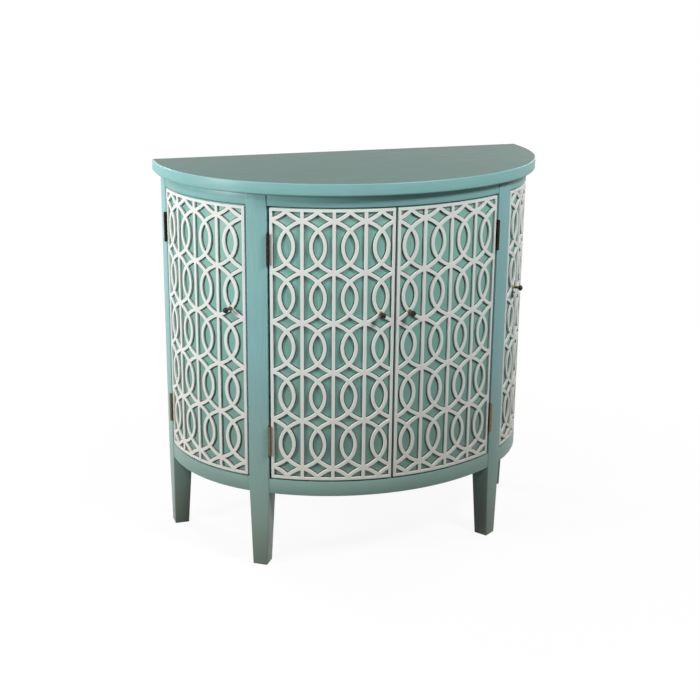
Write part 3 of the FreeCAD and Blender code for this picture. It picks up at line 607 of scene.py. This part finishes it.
def shoulder(x, offset):
    """Height above an oval's centre of its flatter arc, moved out by an offset."""
    return shoulder_y + math.sqrt((shoulder_radius + offset) ** 2 - (x - shoulder_x) ** 2)


def spread(start, end, steps):
    """Numbers from start to end in even steps."""
    return [start + (end - start) * index / steps for index in range(steps + 1)]


def lens_hole():
    """The hole where two ovals overlap, from its middle."""
    inner = OVAL_RADIUS - HALF_STROKE + EDGE_EASE
    tip = math.acos(COLUMN_PITCH / 2 / inner)
    right = [
        (inner * math.cos(turn) - COLUMN_PITCH / 2, inner * math.sin(turn))
        for turn in spread(tip, -tip, LENS_STEPS)
    ]
    return right + [(-x, -y) for x, y in right[1:-1]]


def diamond_hole():
    """The hole on a node line, between the shoulders of four ovals, from its middle."""
    offset = HALF_STROKE - EDGE_EASE
    flat = ROW_PITCH / 2 - shoulder_y
    reach = math.sqrt((shoulder_radius + offset) ** 2 - flat**2)
    across = COLUMN_PITCH / 2 - shoulder_x - reach
    quarter = [
        (x, ROW_PITCH / 2 - shoulder(COLUMN_PITCH / 2 - x, offset))
        for x in spread(across, 0, DIAMOND_STEPS)
    ]
    quarter[0] = (across, 0)
    left = [(-x, y) for x, y in reversed(quarter[:-1])]
    half = quarter + left
    return half + [(-x, -y) for x, y in half[1:-1]]


def flank_hole():
    """The hole between a bar and the side of the next oval, from the middle of its own oval."""
    offset = HALF_STROKE - EDGE_EASE
    outer = OVAL_RADIUS + offset
    low, high = HALF_BAR - EDGE_EASE, COLUMN_PITCH / 2
    for _ in range(HALVINGS):
        x = (low + high) / 2
        outside = (COLUMN_PITCH - x) ** 2 + shoulder(x, -offset) ** 2 > outer**2
        low, high = (x, high) if outside else (low, x)
    upper = [(x, shoulder(x, -offset)) for x in spread(HALF_BAR - EDGE_EASE, low, SHOULDER_STEPS)]
    tip = math.asin(upper[-1][1] / outer)
    waist = [
        (COLUMN_PITCH - outer * math.cos(turn), outer * math.sin(turn))
        for turn in spread(tip, -tip, WAIST_STEPS)
    ]
    lower = [(x, -y) for x, y in reversed(upper)]
    return upper[:-1] + waist + lower[1:]


def sheet_edges(door):
    """The sheet's left, right, low and high edges, in arc length and height."""
    return (
        FRET_HINGE_INSET, door.width - FRET_EDGE_INSET,
        door_low + FRET_EDGE_INSET, door_high - FRET_EDGE_INSET,
    )


def pattern_holes(door):
    """All holes of the pattern, flat, and cut off along the inner line of the border."""
    left, right, low, high = sheet_edges(door)
    first_column = left + door.first_column
    stretch = door.pitch / COLUMN_PITCH
    flank = flank_hole()
    mirrored = [(-x, y) for x, y in reversed(flank)]
    cells = [(0.5, 0.5, lens_hole()), (0, 0.5, flank), (1, 0.5, mirrored), (0.5, 0, diamond_hole())]
    shape = bmesh.new()
    for column in range(COLUMNS):
        for row in range(-1, ROWS + 1):
            for columns, rows, outline in cells:
                x = first_column + (column + columns) * door.pitch
                z = high - FIRST_ROW_DROP - (row + rows) * ROW_PITCH
                shape.faces.new([shape.verts.new((x + dx * stretch, 0, z + dz)) for dx, dz in outline])
    border = FRET_BORDER - EDGE_EASE
    for place, direction in (
        ((left + border, 0, 0), (-1, 0, 0)),
        ((right - border, 0, 0), (1, 0, 0)),
        ((0, 0, low + border), (0, 0, -1)),
        ((0, 0, high - border), (0, 0, 1)),
    ):
        bmesh.ops.bisect_plane(
            shape, geom=everything(shape), plane_co=place, plane_no=direction, dist=HAIR,
            clear_outer=True,
        )
    tiny = [face for face in shape.faces if face.calc_area() < SMALLEST_HOLE_SIDE**2]
    bmesh.ops.delete(shape, geom=tiny, context="FACES")
    return shape


def fret_skin(door):
    """The flat front of the sheet with softened edges, and a copy of its holes."""
    shape = pattern_holes(door)
    holes = list(shape.faces)
    left, right, low, high = sheet_edges(door)
    corners = ((left, low), (right, low), (right, high), (left, high))
    sheet = shape.faces.new([shape.verts.new((x, 0, z)) for x, z in corners])
    bmesh.ops.recalc_face_normals(shape, faces=shape.faces)
    soften(shape, [sheet], inwards=True)
    soften(shape, holes, inwards=False)
    recesses = bmesh.new()
    for hole in holes:
        recesses.faces.new([recesses.verts.new(corner.co) for corner in hole.verts])
    bmesh.ops.delete(shape, geom=[sheet, *holes], context="FACES_ONLY")
    open_edges = [
        edge for edge in shape.edges
        if len(edge.link_faces) == 1
        and all(abs(corner.co.y + FRET_THICKNESS) < HAIR for corner in edge.verts)
    ]
    bmesh.ops.triangle_fill(shape, use_beauty=True, edges=open_edges, normal=(0, -1, 0))
    slice_sheet(door, shape)
    return shape, recesses


def slice_sheet(door, shape):
    """Cut a flat sheet into upright strips, so that it can bend."""
    left, right, _, _ = sheet_edges(door)
    for x in spread(left, right, SHEET_STRIPS)[1:-1]:
        bmesh.ops.bisect_plane(
            shape, geom=everything(shape), plane_co=(x, 0, 0), plane_no=(1, 0, 0), dist=CLOSE
        )


def bend(door, shape):
    """Wrap a flat sheet round the door."""
    for corner in shape.verts:
        length, depth, height = corner.co
        corner.co = door.place(length, -depth, height)


def soften(shape, faces, inwards):
    """Two narrow rims inside each face. They fall away towards the sheet's edge or its hole."""
    shares = reversed(EDGE_EASE_SHARES) if inwards else EDGE_EASE_SHARES
    for index, share in enumerate(shares):
        if index:
            bmesh.ops.inset_individual(shape, faces=faces, thickness=EDGE_EASE / 2, use_even_offset=True)
        for corner in {corner for face in faces for corner in face.verts}:
            corner.co.y = share * EDGE_EASE - FRET_THICKNESS


def make_fretwork(door):
    """The sheet gets its thickness, then bends round the door."""
    shape, recesses = fret_skin(door)
    make_corner_glaze_and_shade(door, recesses)
    made = bmesh.ops.extrude_face_region(shape, geom=list(shape.faces))["geom"]
    for corner in only_corners(made):
        corner.co.y = FRET_SEAT
    bend(door, shape)
    finish_piece(
        door.name + "_lattice", shape, door.body, [WHITE],
        [door.name + "_fretwork"], sharp=20,
    )


def make_corner_glaze_and_shade(door, shape):
    """A dark band round every hole where the fretwork meets its board: partly an old glaze, partly painted shade
    of those corners.
    """
    recesses = list(shape.faces)
    for corner in shape.verts:
        corner.co.y = -GLAZE_AND_SHADE_HEIGHT
    shape.normal_update()
    bmesh.ops.inset_individual(shape, faces=recesses, thickness=GLAZE_AND_SHADE_WIDTH, use_even_offset=False)
    for corner in {corner for face in recesses for corner in face.verts}:
        corner.co.y = -GLAZE_AND_SHADE_LIFT
    bmesh.ops.delete(shape, geom=recesses, context="FACES_ONLY")
    slice_sheet(door, shape)
    bend(door, shape)
    finish_piece(door.name + "_corner_glaze", shape, door.body, [GLAZE_AND_CORNER_SHADE])


# Knobs. A profile gives the radius at each height above the fretwork, in millimetres.

STEM_PROFILE = (
    (0, -0.2), (5, -0.2), (5, 0.7), (4.6, 1.3), (3.6, 1.9), (3, 2.8), (2.7, 5), (2.6, 9), (2.9, 12),
    (3.6, 13.2), (4.3, 13.8), (4.3, 14.8), (3.6, 15.4), (0, 15.4),
)
HEAD_PROFILE = (
    (0, 14.9), (3.2, 15), (5, 15.6), (6, 16.7), (6.3, 18), (6.2, 19.6), (5.6, 21), (4.4, 22.1),
    (2.6, 22.8), (1.2, 22.97), (0, 23),
)
TURNED_STEPS = 32
knob_height = door_high - FRET_EDGE_INSET - FIRST_ROW_DROP - (KNOB_ROW - 0.5) * ROW_PITCH - crossing


def turned(profile):
    """A piece turned about Z from a profile of radius and height."""
    shape = bmesh.new()
    corners = [shape.verts.new((radius, 0, height)) for radius, height in profile]
    edges = [shape.edges.new(pair) for pair in zip(corners, corners[1:])]
    bmesh.ops.spin(
        shape, geom=[*corners, *edges], cent=(0, 0, 0), axis=(0, 0, 1), angle=FULL_TURN,
        steps=TURNED_STEPS, use_merge=True,
    )
    bmesh.ops.remove_doubles(shape, verts=shape.verts, dist=CLOSE)
    return shape


def lay(shape, place, direction):
    """Move a piece so that its Z axis lies along a level direction."""
    tilt = direction.to_track_quat("Z", "Y").to_matrix().to_4x4()
    bmesh.ops.transform(shape, matrix=Matrix.Translation(place) @ tilt, verts=shape.verts)


def make_knob(door):
    """A bronze stem with a foot and a collar, and a dark domed head."""
    direction = outward(door.angle(door.knob_length))
    place = door.place(door.knob_length, FRET_THICKNESS, knob_height)
    for part, profile, material in (("stem", STEM_PROFILE, BRONZE), ("head", HEAD_PROFILE, KNOB_BLACK)):
        shape = turned([(radius * MM, height * MM) for radius, height in profile])
        lay(shape, place, direction)
        stands_for = [door.name + "_knob"] if part == "head" else []
        finish_piece(
            f"{door.name}_knob_{part}", shape, door.body, [material], stands_for, sharp=50
        )


# Screws

SCREW_SEAT = 0.3 * MM
SCREW_SIDES = 24
SCREW_ROUND_SHARE = 0.7
SLOT_WIDTH = 0.8 * MM
SLOT_RIM = 0.15 * MM
SLOT_DEPTH_SHARE = 0.6
PAN_RADIUS = 4 * MM
PAN_RISE = 2.2 * MM
WASHER_RADIUS = 6.5 * MM
WASHER_THICKNESS = 0.8 * MM
WASHER_EASE_WIDTH = 0.3 * MM
WASHER_EASE_HEIGHT = 0.2 * MM
BAY_TURN = 25
SIDE_TURN = 40


def screw_head(radius, rise):
    """A slotted head about Z, seated at height 0."""
    shape = bmesh.new()
    bmesh.ops.create_cone(
        shape, cap_ends=True, segments=SCREW_SIDES, radius1=radius, radius2=radius,
        depth=rise + SCREW_SEAT, matrix=Matrix.Translation((0, 0, (rise - SCREW_SEAT) / 2)),
    )

    def on_top(item):
        return all(corner.co.z > rise - CLOSE for corner in item.verts)

    bevel(shape, [edge for edge in shape.edges if on_top(edge)], SCREW_ROUND_SHARE * rise)
    for x in (-SLOT_WIDTH / 2, SLOT_WIDTH / 2):
        top = [face for face in shape.faces if on_top(face)]
        rims = dict.fromkeys(item for face in top for item in (*face.edges, *face.verts))
        bmesh.ops.bisect_plane(shape, geom=[*top, *rims], plane_co=(x, 0, 0), plane_no=(1, 0, 0))
    slot = [
        face for face in shape.faces
        if on_top(face) and abs(face.calc_center_median().x) < SLOT_WIDTH / 2
    ]
    shape.normal_update()
    bmesh.ops.inset_individual(shape, faces=slot, thickness=SLOT_RIM, use_even_offset=True)
    slot_corners = list({corner for face in slot for corner in face.verts})
    bmesh.ops.translate(shape, vec=(0, 0, -SLOT_DEPTH_SHARE * rise), verts=slot_corners)
    return shape


def make_knob_screw(door):
    """A pan head on a washer, inside the door behind its knob."""
    direction = -outward(door.angle(door.knob_length))
    place = door.place(door.knob_length, -DOOR_THICKNESS, knob_height)
    shape = turned([
        (0, -SCREW_SEAT),
        (WASHER_RADIUS, -SCREW_SEAT),
        (WASHER_RADIUS, WASHER_THICKNESS - WASHER_EASE_HEIGHT),
        (WASHER_RADIUS - WASHER_EASE_WIDTH, WASHER_THICKNESS),
        (0, WASHER_THICKNESS),
    ])
    turn = Matrix.Rotation(math.radians(BAY_TURN * door.bay + SIDE_TURN * door.side), 4, "Z")
    join(shape, screw_head(PAN_RADIUS, PAN_RISE), Matrix.Translation((0, 0, WASHER_THICKNESS)) @ turn)
    lay(shape, place, direction)
    finish_piece(door.name + "_knob_screw", shape, door.body, [STEEL])


# Hinges

HINGE_LENGTH = 66 * MM
HINGE_END_DISTANCE = 88 * MM
KNUCKLES = 5
KNUCKLE_RADIUS = 3.2 * MM
KNUCKLE_CLEARANCE = 0.3 * MM
KNUCKLE_GAP = 0.15 * MM
KNUCKLE_EASE = 0.35 * MM
PIN_RADIUS = 1.5 * MM
PIN_PROUD = 0.6 * MM
PIN_EASE = 0.5 * MM
ROD_SIDES = 24
LEAF_THICKNESS = 1 * MM
LEAF_DEPTH = 16 * MM
LEAF_SCREW_RADIUS = 2.9 * MM
LEAF_SCREW_RISE = 0.35 * MM
LEAF_SCREW_SHARES = (-0.72, 0, 0.72)
FIRST_SCREW_TURN = 35
NEXT_SCREW_TURN = 55
hinge_heights = {"lower": door_low + HINGE_END_DISTANCE, "upper": door_high - HINGE_END_DISTANCE}


def add_rod(shape, radius, low, high, ease):
    """An upright rod about the Z axis with eased ends."""
    made = bmesh.ops.create_cone(
        shape, cap_ends=True, segments=ROD_SIDES, radius1=radius, radius2=radius, depth=high - low,
        matrix=Matrix.Translation((0, 0, (low + high) / 2)),
    )
    corners = set(made["verts"])
    rims = [
        edge for edge in shape.edges
        if set(edge.verts) <= corners and abs(edge.verts[0].co.z - edge.verts[1].co.z) < CLOSE
    ]
    bevel(shape, rims, ease, segments=2)


def hinge_leaf(distance, depth, own_knuckles, with_pin):
    """One leaf about its pin. The outside is +Y, and the piece that carries it is towards +X.

    It lies flat on that piece at a distance from the pin, and reaches in by its depth.
    """
    half = HINGE_LENGTH / 2
    neck = KNUCKLE_RADIUS + KNUCKLE_CLEARANCE
    left = distance - LEAF_THICKNESS
    shape = bmesh.new()
    add_box(shape, (left, -depth, -half), (distance, -neck, half))
    step = HINGE_LENGTH / KNUCKLES
    for index in own_knuckles:
        low = -half + index * step + (KNUCKLE_GAP if index else 0)
        high = -half + (index + 1) * step - (KNUCKLE_GAP if index < KNUCKLES - 1 else 0)
        add_rod(shape, KNUCKLE_RADIUS, low, high, KNUCKLE_EASE)
        add_box(shape, (left, -neck, low), (distance, 0, high))
        add_box(shape, (0, -LEAF_THICKNESS, low), (max(distance, LEAF_THICKNESS), 0, high))
    if with_pin:
        add_rod(shape, PIN_RADIUS, -half - PIN_PROUD, half + PIN_PROUD, PIN_EASE)
    facing = Matrix.Rotation(-QUARTER, 4, "Y")
    for index, share in enumerate(LEAF_SCREW_SHARES):
        turn = Matrix.Rotation(math.radians(FIRST_SCREW_TURN + NEXT_SCREW_TURN * index), 4, "Z")
        place = Matrix.Translation((left, -(depth + neck) / 2, share * half))
        join(shape, screw_head(LEAF_SCREW_RADIUS, LEAF_SCREW_RISE), place @ facing @ turn)
    return shape


def set_leaf(shape, pin, toward, out, height):
    """Turn a leaf into place. Its layout is the same upside down, which gives the other hand."""
    if toward.cross(out).z < 0:
        half_turn = Matrix.Rotation(math.pi, 3, "Y")
        bmesh.ops.rotate(shape, verts=shape.verts, cent=(0, 0, 0), matrix=half_turn)
        toward = -toward
    set_upright(shape, pin + Vector((0, 0, height)), math.atan2(toward.y, toward.x))


def make_hinges(door):
    """Two butt hinges. The door's leaves have two knuckles, the post's have three and the pin."""
    angle = door.side * door.hinge
    reach = door.pin - door.centre
    door_edge = reach.dot(along(angle)) * door.side
    door_depth = reach.dot(outward(angle)) - door.radius + LEAF_DEPTH
    frame_depth = KNUCKLE_RADIUS + KNUCKLE_CLEARANCE + LEAF_DEPTH
    to_door = along(angle) * -door.side
    to_post = along(door.post_angle) * door.side
    sides = (
        ("door", door.body, door_edge, door_depth, (1, 3), False, to_door, outward(angle)),
        ("frame", "carcass", HINGE_GAP, frame_depth, (0, 2, 4), True, to_post, outward(door.post_angle)),
    )
    for word, body, distance, depth, knuckles, with_pin, toward, out in sides:
        for level, height in hinge_heights.items():
            shape = hinge_leaf(distance, depth, knuckles, with_pin)
            set_leaf(shape, door.pin, toward, out, height)
            metal_used = BLACKENED if level == "upper" else BRASS
            stands_for = [f"{door.name}_{word}_hinge_leaves"] if level == "upper" else []
            finish_piece(
                f"{door.name}_{level}_{word}_leaf", shape, body, [metal_used],
                stands_for,
            )


# Catches

STRIKE_WIDTH = 30 * MM
STRIKE_HEIGHT = 12 * MM
STRIKE_THICKNESS = 1.2 * MM
STRIKE_ROUND = 2.5 * MM
STRIKE_DROP = 3 * MM
STRIKE_SCREW_RADIUS = 2.6 * MM
STRIKE_SCREW_RISE = 0.2 * MM
CATCH_GAP = 0.4 * MM
CATCH_EDGE_DISTANCE = 20 * MM
POLE_WIDTH = 20 * MM
POLE_DEPTH = 2 * MM
POLE_THICKNESS = 1.6 * MM
POLE_PROUD = 0.15 * MM
POLE_EASE = 0.1 * MM
POLE_SHARES = (0.25, 0.75)


def catch_place(door):
    """The angle of a door's catch, and the distance from the arc's centre to its strike's back."""
    seat = math.sqrt((door.face - DOOR_THICKNESS) ** 2 - (STRIKE_WIDTH / 2) ** 2)
    return door.angle(door.width - CATCH_EDGE_DISTANCE), seat


def make_strike(door):
    """A steel plate with rounded corners and one flat screw."""
    angle, seat = catch_place(door)
    shape = bmesh.new()
    corner = Vector((STRIKE_WIDTH / 2, 0, STRIKE_HEIGHT / 2))
    add_box(shape, -corner, corner + Vector((0, STRIKE_THICKNESS, 0)))
    short = [edge for edge in shape.edges if abs(edge.verts[0].co.y - edge.verts[1].co.y) > CLOSE]
    bevel(shape, short, STRIKE_ROUND, segments=4)
    screw_place = Matrix.Translation((0, STRIKE_THICKNESS, 0)) @ Matrix.Rotation(-QUARTER, 4, "X")
    join(shape, screw_head(STRIKE_SCREW_RADIUS, STRIKE_SCREW_RISE), screw_place)
    height = door_high - STRIKE_DROP - STRIKE_HEIGHT / 2
    set_upright(shape, door.centre + outward(angle) * seat + Vector((0, 0, height)), angle)
    finish_piece(
        door.name + "_strike", shape, door.body, [STEEL], [door.name + "_strike_plate"]
    )


def make_poles(door):
    """Two steel pole plates that stand a little out of the magnet's face."""
    angle, seat = catch_place(door)
    front = seat - STRIKE_THICKNESS - CATCH_GAP + POLE_PROUD
    shape = bmesh.new()
    for share in POLE_SHARES:
        height = door_high - STRIKE_DROP - STRIKE_HEIGHT * share
        low = Vector((-POLE_WIDTH / 2, -front, height - POLE_THICKNESS / 2))
        add_box(shape, low, low + Vector((POLE_WIDTH, POLE_DEPTH, POLE_THICKNESS)))
    bevel(shape, list(shape.edges), POLE_EASE, segments=1)
    set_upright(shape, door.centre, angle)
    finish_piece(door.name + "_magnet_poles", shape, "carcass", [STEEL])


# Boards of the inside and the back

BOARD_EASE = 0.8 * MM
CATCH_EASE = 0.6 * MM
FLAT_JOINT = math.radians(0.5)
BOARD_CORNER = math.radians(40)


def ease_board(name, material, ease):
    """A board as it was built, with its sharp edges eased."""
    shape = bmesh.new()
    shape.from_mesh(frame["nodes"][name].data)
    bmesh.ops.remove_doubles(shape, verts=shape.verts, dist=CLOSE)
    bmesh.ops.dissolve_limit(shape, angle_limit=FLAT_JOINT, verts=shape.verts, edges=shape.edges)
    sharp = [edge for edge in shape.edges if edge.is_manifold and edge.calc_face_angle(0) > BOARD_CORNER]
    bevel(shape, sharp, ease, segments=2)
    finish_piece("eased_" + name, shape, "carcass", [material], [name])


BEAD = 8 * MM
BEAD_ROUND = 5.5 * MM
BRAD_PITCH = 115 * MM
BRAD_RADIUS = 1.1 * MM
BRAD_TOP_RADIUS = 0.9 * MM
BRAD_RISE = 0.5 * MM
BRAD_SIDES = 12
BRAD_INSET_SHARE = 0.55


def make_back_bead():
    """A rounded bead that holds the back panel all round."""
    low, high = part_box("back_panel")
    shape = bmesh.new()
    corners = ((low.x, low.z), (high.x, low.z), (high.x, high.z), (low.x, high.z))
    sheet = shape.faces.new([shape.verts.new((x, high.y, z)) for x, z in corners])
    sheet.normal_update()
    bmesh.ops.inset_individual(shape, faces=[sheet], thickness=BEAD, use_even_offset=True)
    inner_places = [corner.co.copy() for corner in sheet.verts]
    bmesh.ops.delete(shape, geom=[sheet], context="FACES_ONLY")
    made = bmesh.ops.extrude_face_region(shape, geom=list(shape.faces))["geom"]
    lift = Vector((0, BEAD, 0))
    bmesh.ops.translate(shape, vec=lift, verts=only_corners(made))

    def inside(corner):
        return any((corner.co - lift - place).length < CLOSE for place in inner_places)

    rounded = [edge for edge in shape.edges if all(inside(corner) for corner in edge.verts)]
    bevel(shape, rounded, BEAD_ROUND, segments=5)
    finish_piece("back_bead", shape, "carcass", [INSIDE])


def brad_spread(start, end):
    """Even places between two corners of the bead, and none in the corners."""
    return spread(start, end, round((end - start) / BRAD_PITCH))[1:-1]


def make_back_brads():
    """Brads in the flat part of the bead, evenly spread along its four sides."""
    low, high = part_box("back_panel")
    inset = (BEAD - BEAD_ROUND) * BRAD_INSET_SHARE
    places = []
    for x in brad_spread(low.x, high.x):
        places += [(x, low.z + inset), (x, high.z - inset)]
    for z in brad_spread(low.z, high.z):
        places += [(low.x + inset, z), (high.x - inset, z)]
    shape = bmesh.new()
    for x, z in places:
        brad = bmesh.new()
        bmesh.ops.create_cone(
            brad, cap_ends=True, segments=BRAD_SIDES, radius1=BRAD_RADIUS, radius2=BRAD_TOP_RADIUS,
            depth=BRAD_RISE,
        )
        join(shape, brad, Matrix.Translation((x, high.y + BEAD, z)) @ Matrix.Rotation(-QUARTER, 4, "X"))
    finish_piece("back_brads", shape, "carcass", [STEEL])


# Putting the chest together

BOARDS = (
    "bottom_panel", "left_partition", "right_partition", "shelves", "shelf_cleats", "corner_blocks",
    "back_top_rail", "back_bottom_rail",
)

make_top()
make_rails()
for name in BOARDS:
    ease_board(name, INSIDE, BOARD_EASE)
ease_board("magnetic_catches", CATCH_BROWN, CATCH_EASE)
make_back_bead()
make_back_brads()
for word, side in (("left", -1), ("right", 1)):
    front_place = arc_centre(0) + outward(side * JUNCTION) * CENTRE_RADIUS
    rear_place = Vector((side * half_width, back - REAR_POST_WIDTH / 2, 0))
    make_post("front_" + word, POST_WIDTH, front_place, side * JUNCTION)
    make_post("rear_" + word, REAR_POST_WIDTH, rear_place, side * QUARTER)
for door in DOORS:
    make_door_panel(door)
    make_fretwork(door)
    make_knob(door)
    make_knob_screw(door)
    make_hinges(door)
    make_strike(door)
    make_poles(door)

# Finishes of the solids that are shown as they are

FINISHES = {
    "teal_paint": TEAL_RAIL,
    "inside_paint": INSIDE,
    "white_paint": WHITE,
    "dark_bronze": KNOB_BLACK,
    "antique_brass": BRASS,
    "steel": STEEL,
    "catch_body": CATCH_BROWN,
}
slot_of = {part["node"]: part["material_slot"] for part in frame["record"]["subparts"]}
for name, node in frame["nodes"].items():
    node.data.materials.clear()
    node.data.materials.append(FINISHES[slot_of[name]])

# Floor, light and camera, in metres and degrees. The camera comes from a fit to the photograph.

FLOOR_REACH = 12
DIM_FLOOR = (0.09, 0.09, 0.09)
PALE_FLOOR = (0.9, 0.9, 0.9)
WHITE_LIGHT = (1, 1, 1)
NEAR_GLOW = 0.92
NEAR_DISTANCE = 0.35
FAR_DISTANCE = 1.3
FILL_LIGHT = 0.08
AIM_SHARE = 0.6
CAMERA_LEFT = 0.9297
CAMERA_BEFORE = 2.9676
CAMERA_HEIGHT = 1.3649
CAMERA_AIM = (0.2927, 0.9076, -0.3010)
CAMERA_ROLL = 0.543
CAMERA_LENS_MM = 69.56
CAMERA_SENSOR_MM = 36


def sight_rays(nodes, links):
    """1 for rays that come from the camera, a mirror-like surface or a clear one."""
    path = nodes.new("ShaderNodeLightPath")
    total = None
    for kind in ("Is Camera Ray", "Is Glossy Ray", "Is Transmission Ray"):
        if total is None:
            total = path.outputs[kind]
            continue
        highest = nodes.new("ShaderNodeMath")
        highest.operation = "MAXIMUM"
        links.new(total, highest.inputs[0])
        links.new(path.outputs[kind], highest.inputs[1])
        total = highest.outputs[0]
    return total


def add_shader(nodes, kind, colour):
    shader = nodes.new(kind)
    shader.inputs["Color"].default_value = (*colour, 1)
    return shader


def blend_shaders(nodes, links, share, first, second):
    """The output of two shaders blended: 0 gives the first and 1 the second."""
    mix = nodes.new("ShaderNodeMixShader")
    for index, source in enumerate((share, first, second)):
        links.new(source, mix.inputs[index])
    return mix.outputs[0]


def floor_material():
    """It throws little light back, and it looks white, all the more so with distance."""
    material = bpy.data.materials.new("floor_white")
    material.use_nodes = True
    nodes, links = material.node_tree.nodes, material.node_tree.links
    nodes.clear()
    place = nodes.new("ShaderNodeTexCoord").outputs["Object"]
    far = nodes.new("ShaderNodeVectorMath")
    far.operation = "LENGTH"
    links.new(place, far.inputs[0])
    share = nodes.new("ShaderNodeMapRange")
    for index, number in enumerate((NEAR_DISTANCE, FAR_DISTANCE, NEAR_GLOW, 1), start=1):
        share.inputs[index].default_value = number
    links.new(far.outputs["Value"], share.inputs[0])
    dim = add_shader(nodes, "ShaderNodeBsdfDiffuse", DIM_FLOOR)
    pale = add_shader(nodes, "ShaderNodeBsdfDiffuse", PALE_FLOOR)
    glow = add_shader(nodes, "ShaderNodeEmission", WHITE_LIGHT)
    shown = blend_shaders(nodes, links, share.outputs[0], pale.outputs[0], glow.outputs[0])
    surface = blend_shaders(nodes, links, sight_rays(nodes, links), dim.outputs[0], shown)
    links.new(surface, nodes.new("ShaderNodeOutputMaterial").inputs["Surface"])
    return material


def make_floor():
    shape = bmesh.new()
    bmesh.ops.create_grid(shape, x_segments=1, y_segments=1, size=FLOOR_REACH)
    mesh = bpy.data.meshes.new("floor")
    shape.to_mesh(mesh)
    shape.free()
    mesh.materials.append(floor_material())
    floor = bpy.data.objects.new("floor", mesh)
    bpy.context.scene.collection.objects.link(floor)


def make_world():
    """A faint fill light that is seen as plain white."""
    world = bpy.data.worlds.new("studio")
    bpy.context.scene.world = world
    world.use_nodes = True
    nodes, links = world.node_tree.nodes, world.node_tree.links
    nodes.clear()
    fill = add_shader(nodes, "ShaderNodeBackground", WHITE_LIGHT)
    fill.inputs["Strength"].default_value = FILL_LIGHT
    white = add_shader(nodes, "ShaderNodeBackground", WHITE_LIGHT)
    surface = blend_shaders(nodes, links, sight_rays(nodes, links), fill.outputs[0], white.outputs[0])
    links.new(surface, nodes.new("ShaderNodeOutputWorld").inputs["Surface"])


def add_lamp(name, azimuth, elevation, distance, size, power):
    """A round lamp that aims at the middle of the chest, placed by its angles seen from there."""
    lamp = bpy.data.lights.new(name, "AREA")
    lamp.shape = "DISK"
    lamp.size = size
    lamp.energy = power
    rise = math.radians(elevation)
    direction = outward(math.radians(azimuth)) * math.cos(rise) + Vector((0, 0, math.sin(rise)))
    holder = bpy.data.objects.new(name, lamp)
    holder.location = Vector((0, 0, top_high * AIM_SHARE)) + direction * distance
    holder.rotation_mode = "QUATERNION"
    holder.rotation_quaternion = direction.to_track_quat("Z", "Y")
    bpy.context.scene.collection.objects.link(holder)


def add_camera():
    camera = bpy.data.cameras.new("camera")
    camera.lens = CAMERA_LENS_MM
    camera.sensor_width = CAMERA_SENSOR_MM
    holder = bpy.data.objects.new("camera", camera)
    holder.location = (-CAMERA_LEFT, back - CAMERA_BEFORE, CAMERA_HEIGHT)
    holder.rotation_mode = "QUATERNION"
    aim = Vector(CAMERA_AIM).to_track_quat("-Z", "Y")
    roll = Matrix.Rotation(math.radians(CAMERA_ROLL), 3, "Z").to_quaternion()
    holder.rotation_quaternion = aim @ roll
    bpy.context.scene.collection.objects.link(holder)
    bpy.context.scene.camera = holder


make_floor()
make_world()
add_lamp("left_low", azimuth=-80, elevation=15, distance=2.3, size=0.45, power=30)
add_lamp("left_high", azimuth=-58, elevation=42, distance=2.3, size=0.4, power=12)
add_lamp("right_high", azimuth=30, elevation=42, distance=2.3, size=0.5, power=35)
add_lamp("back_left", azimuth=-142, elevation=24, distance=2.5, size=0.8, power=26)
add_lamp("back_right", azimuth=125, elevation=24, distance=2.5, size=0.8, power=14)
add_camera()
bpy.context.scene.view_settings.view_transform = "Standard"
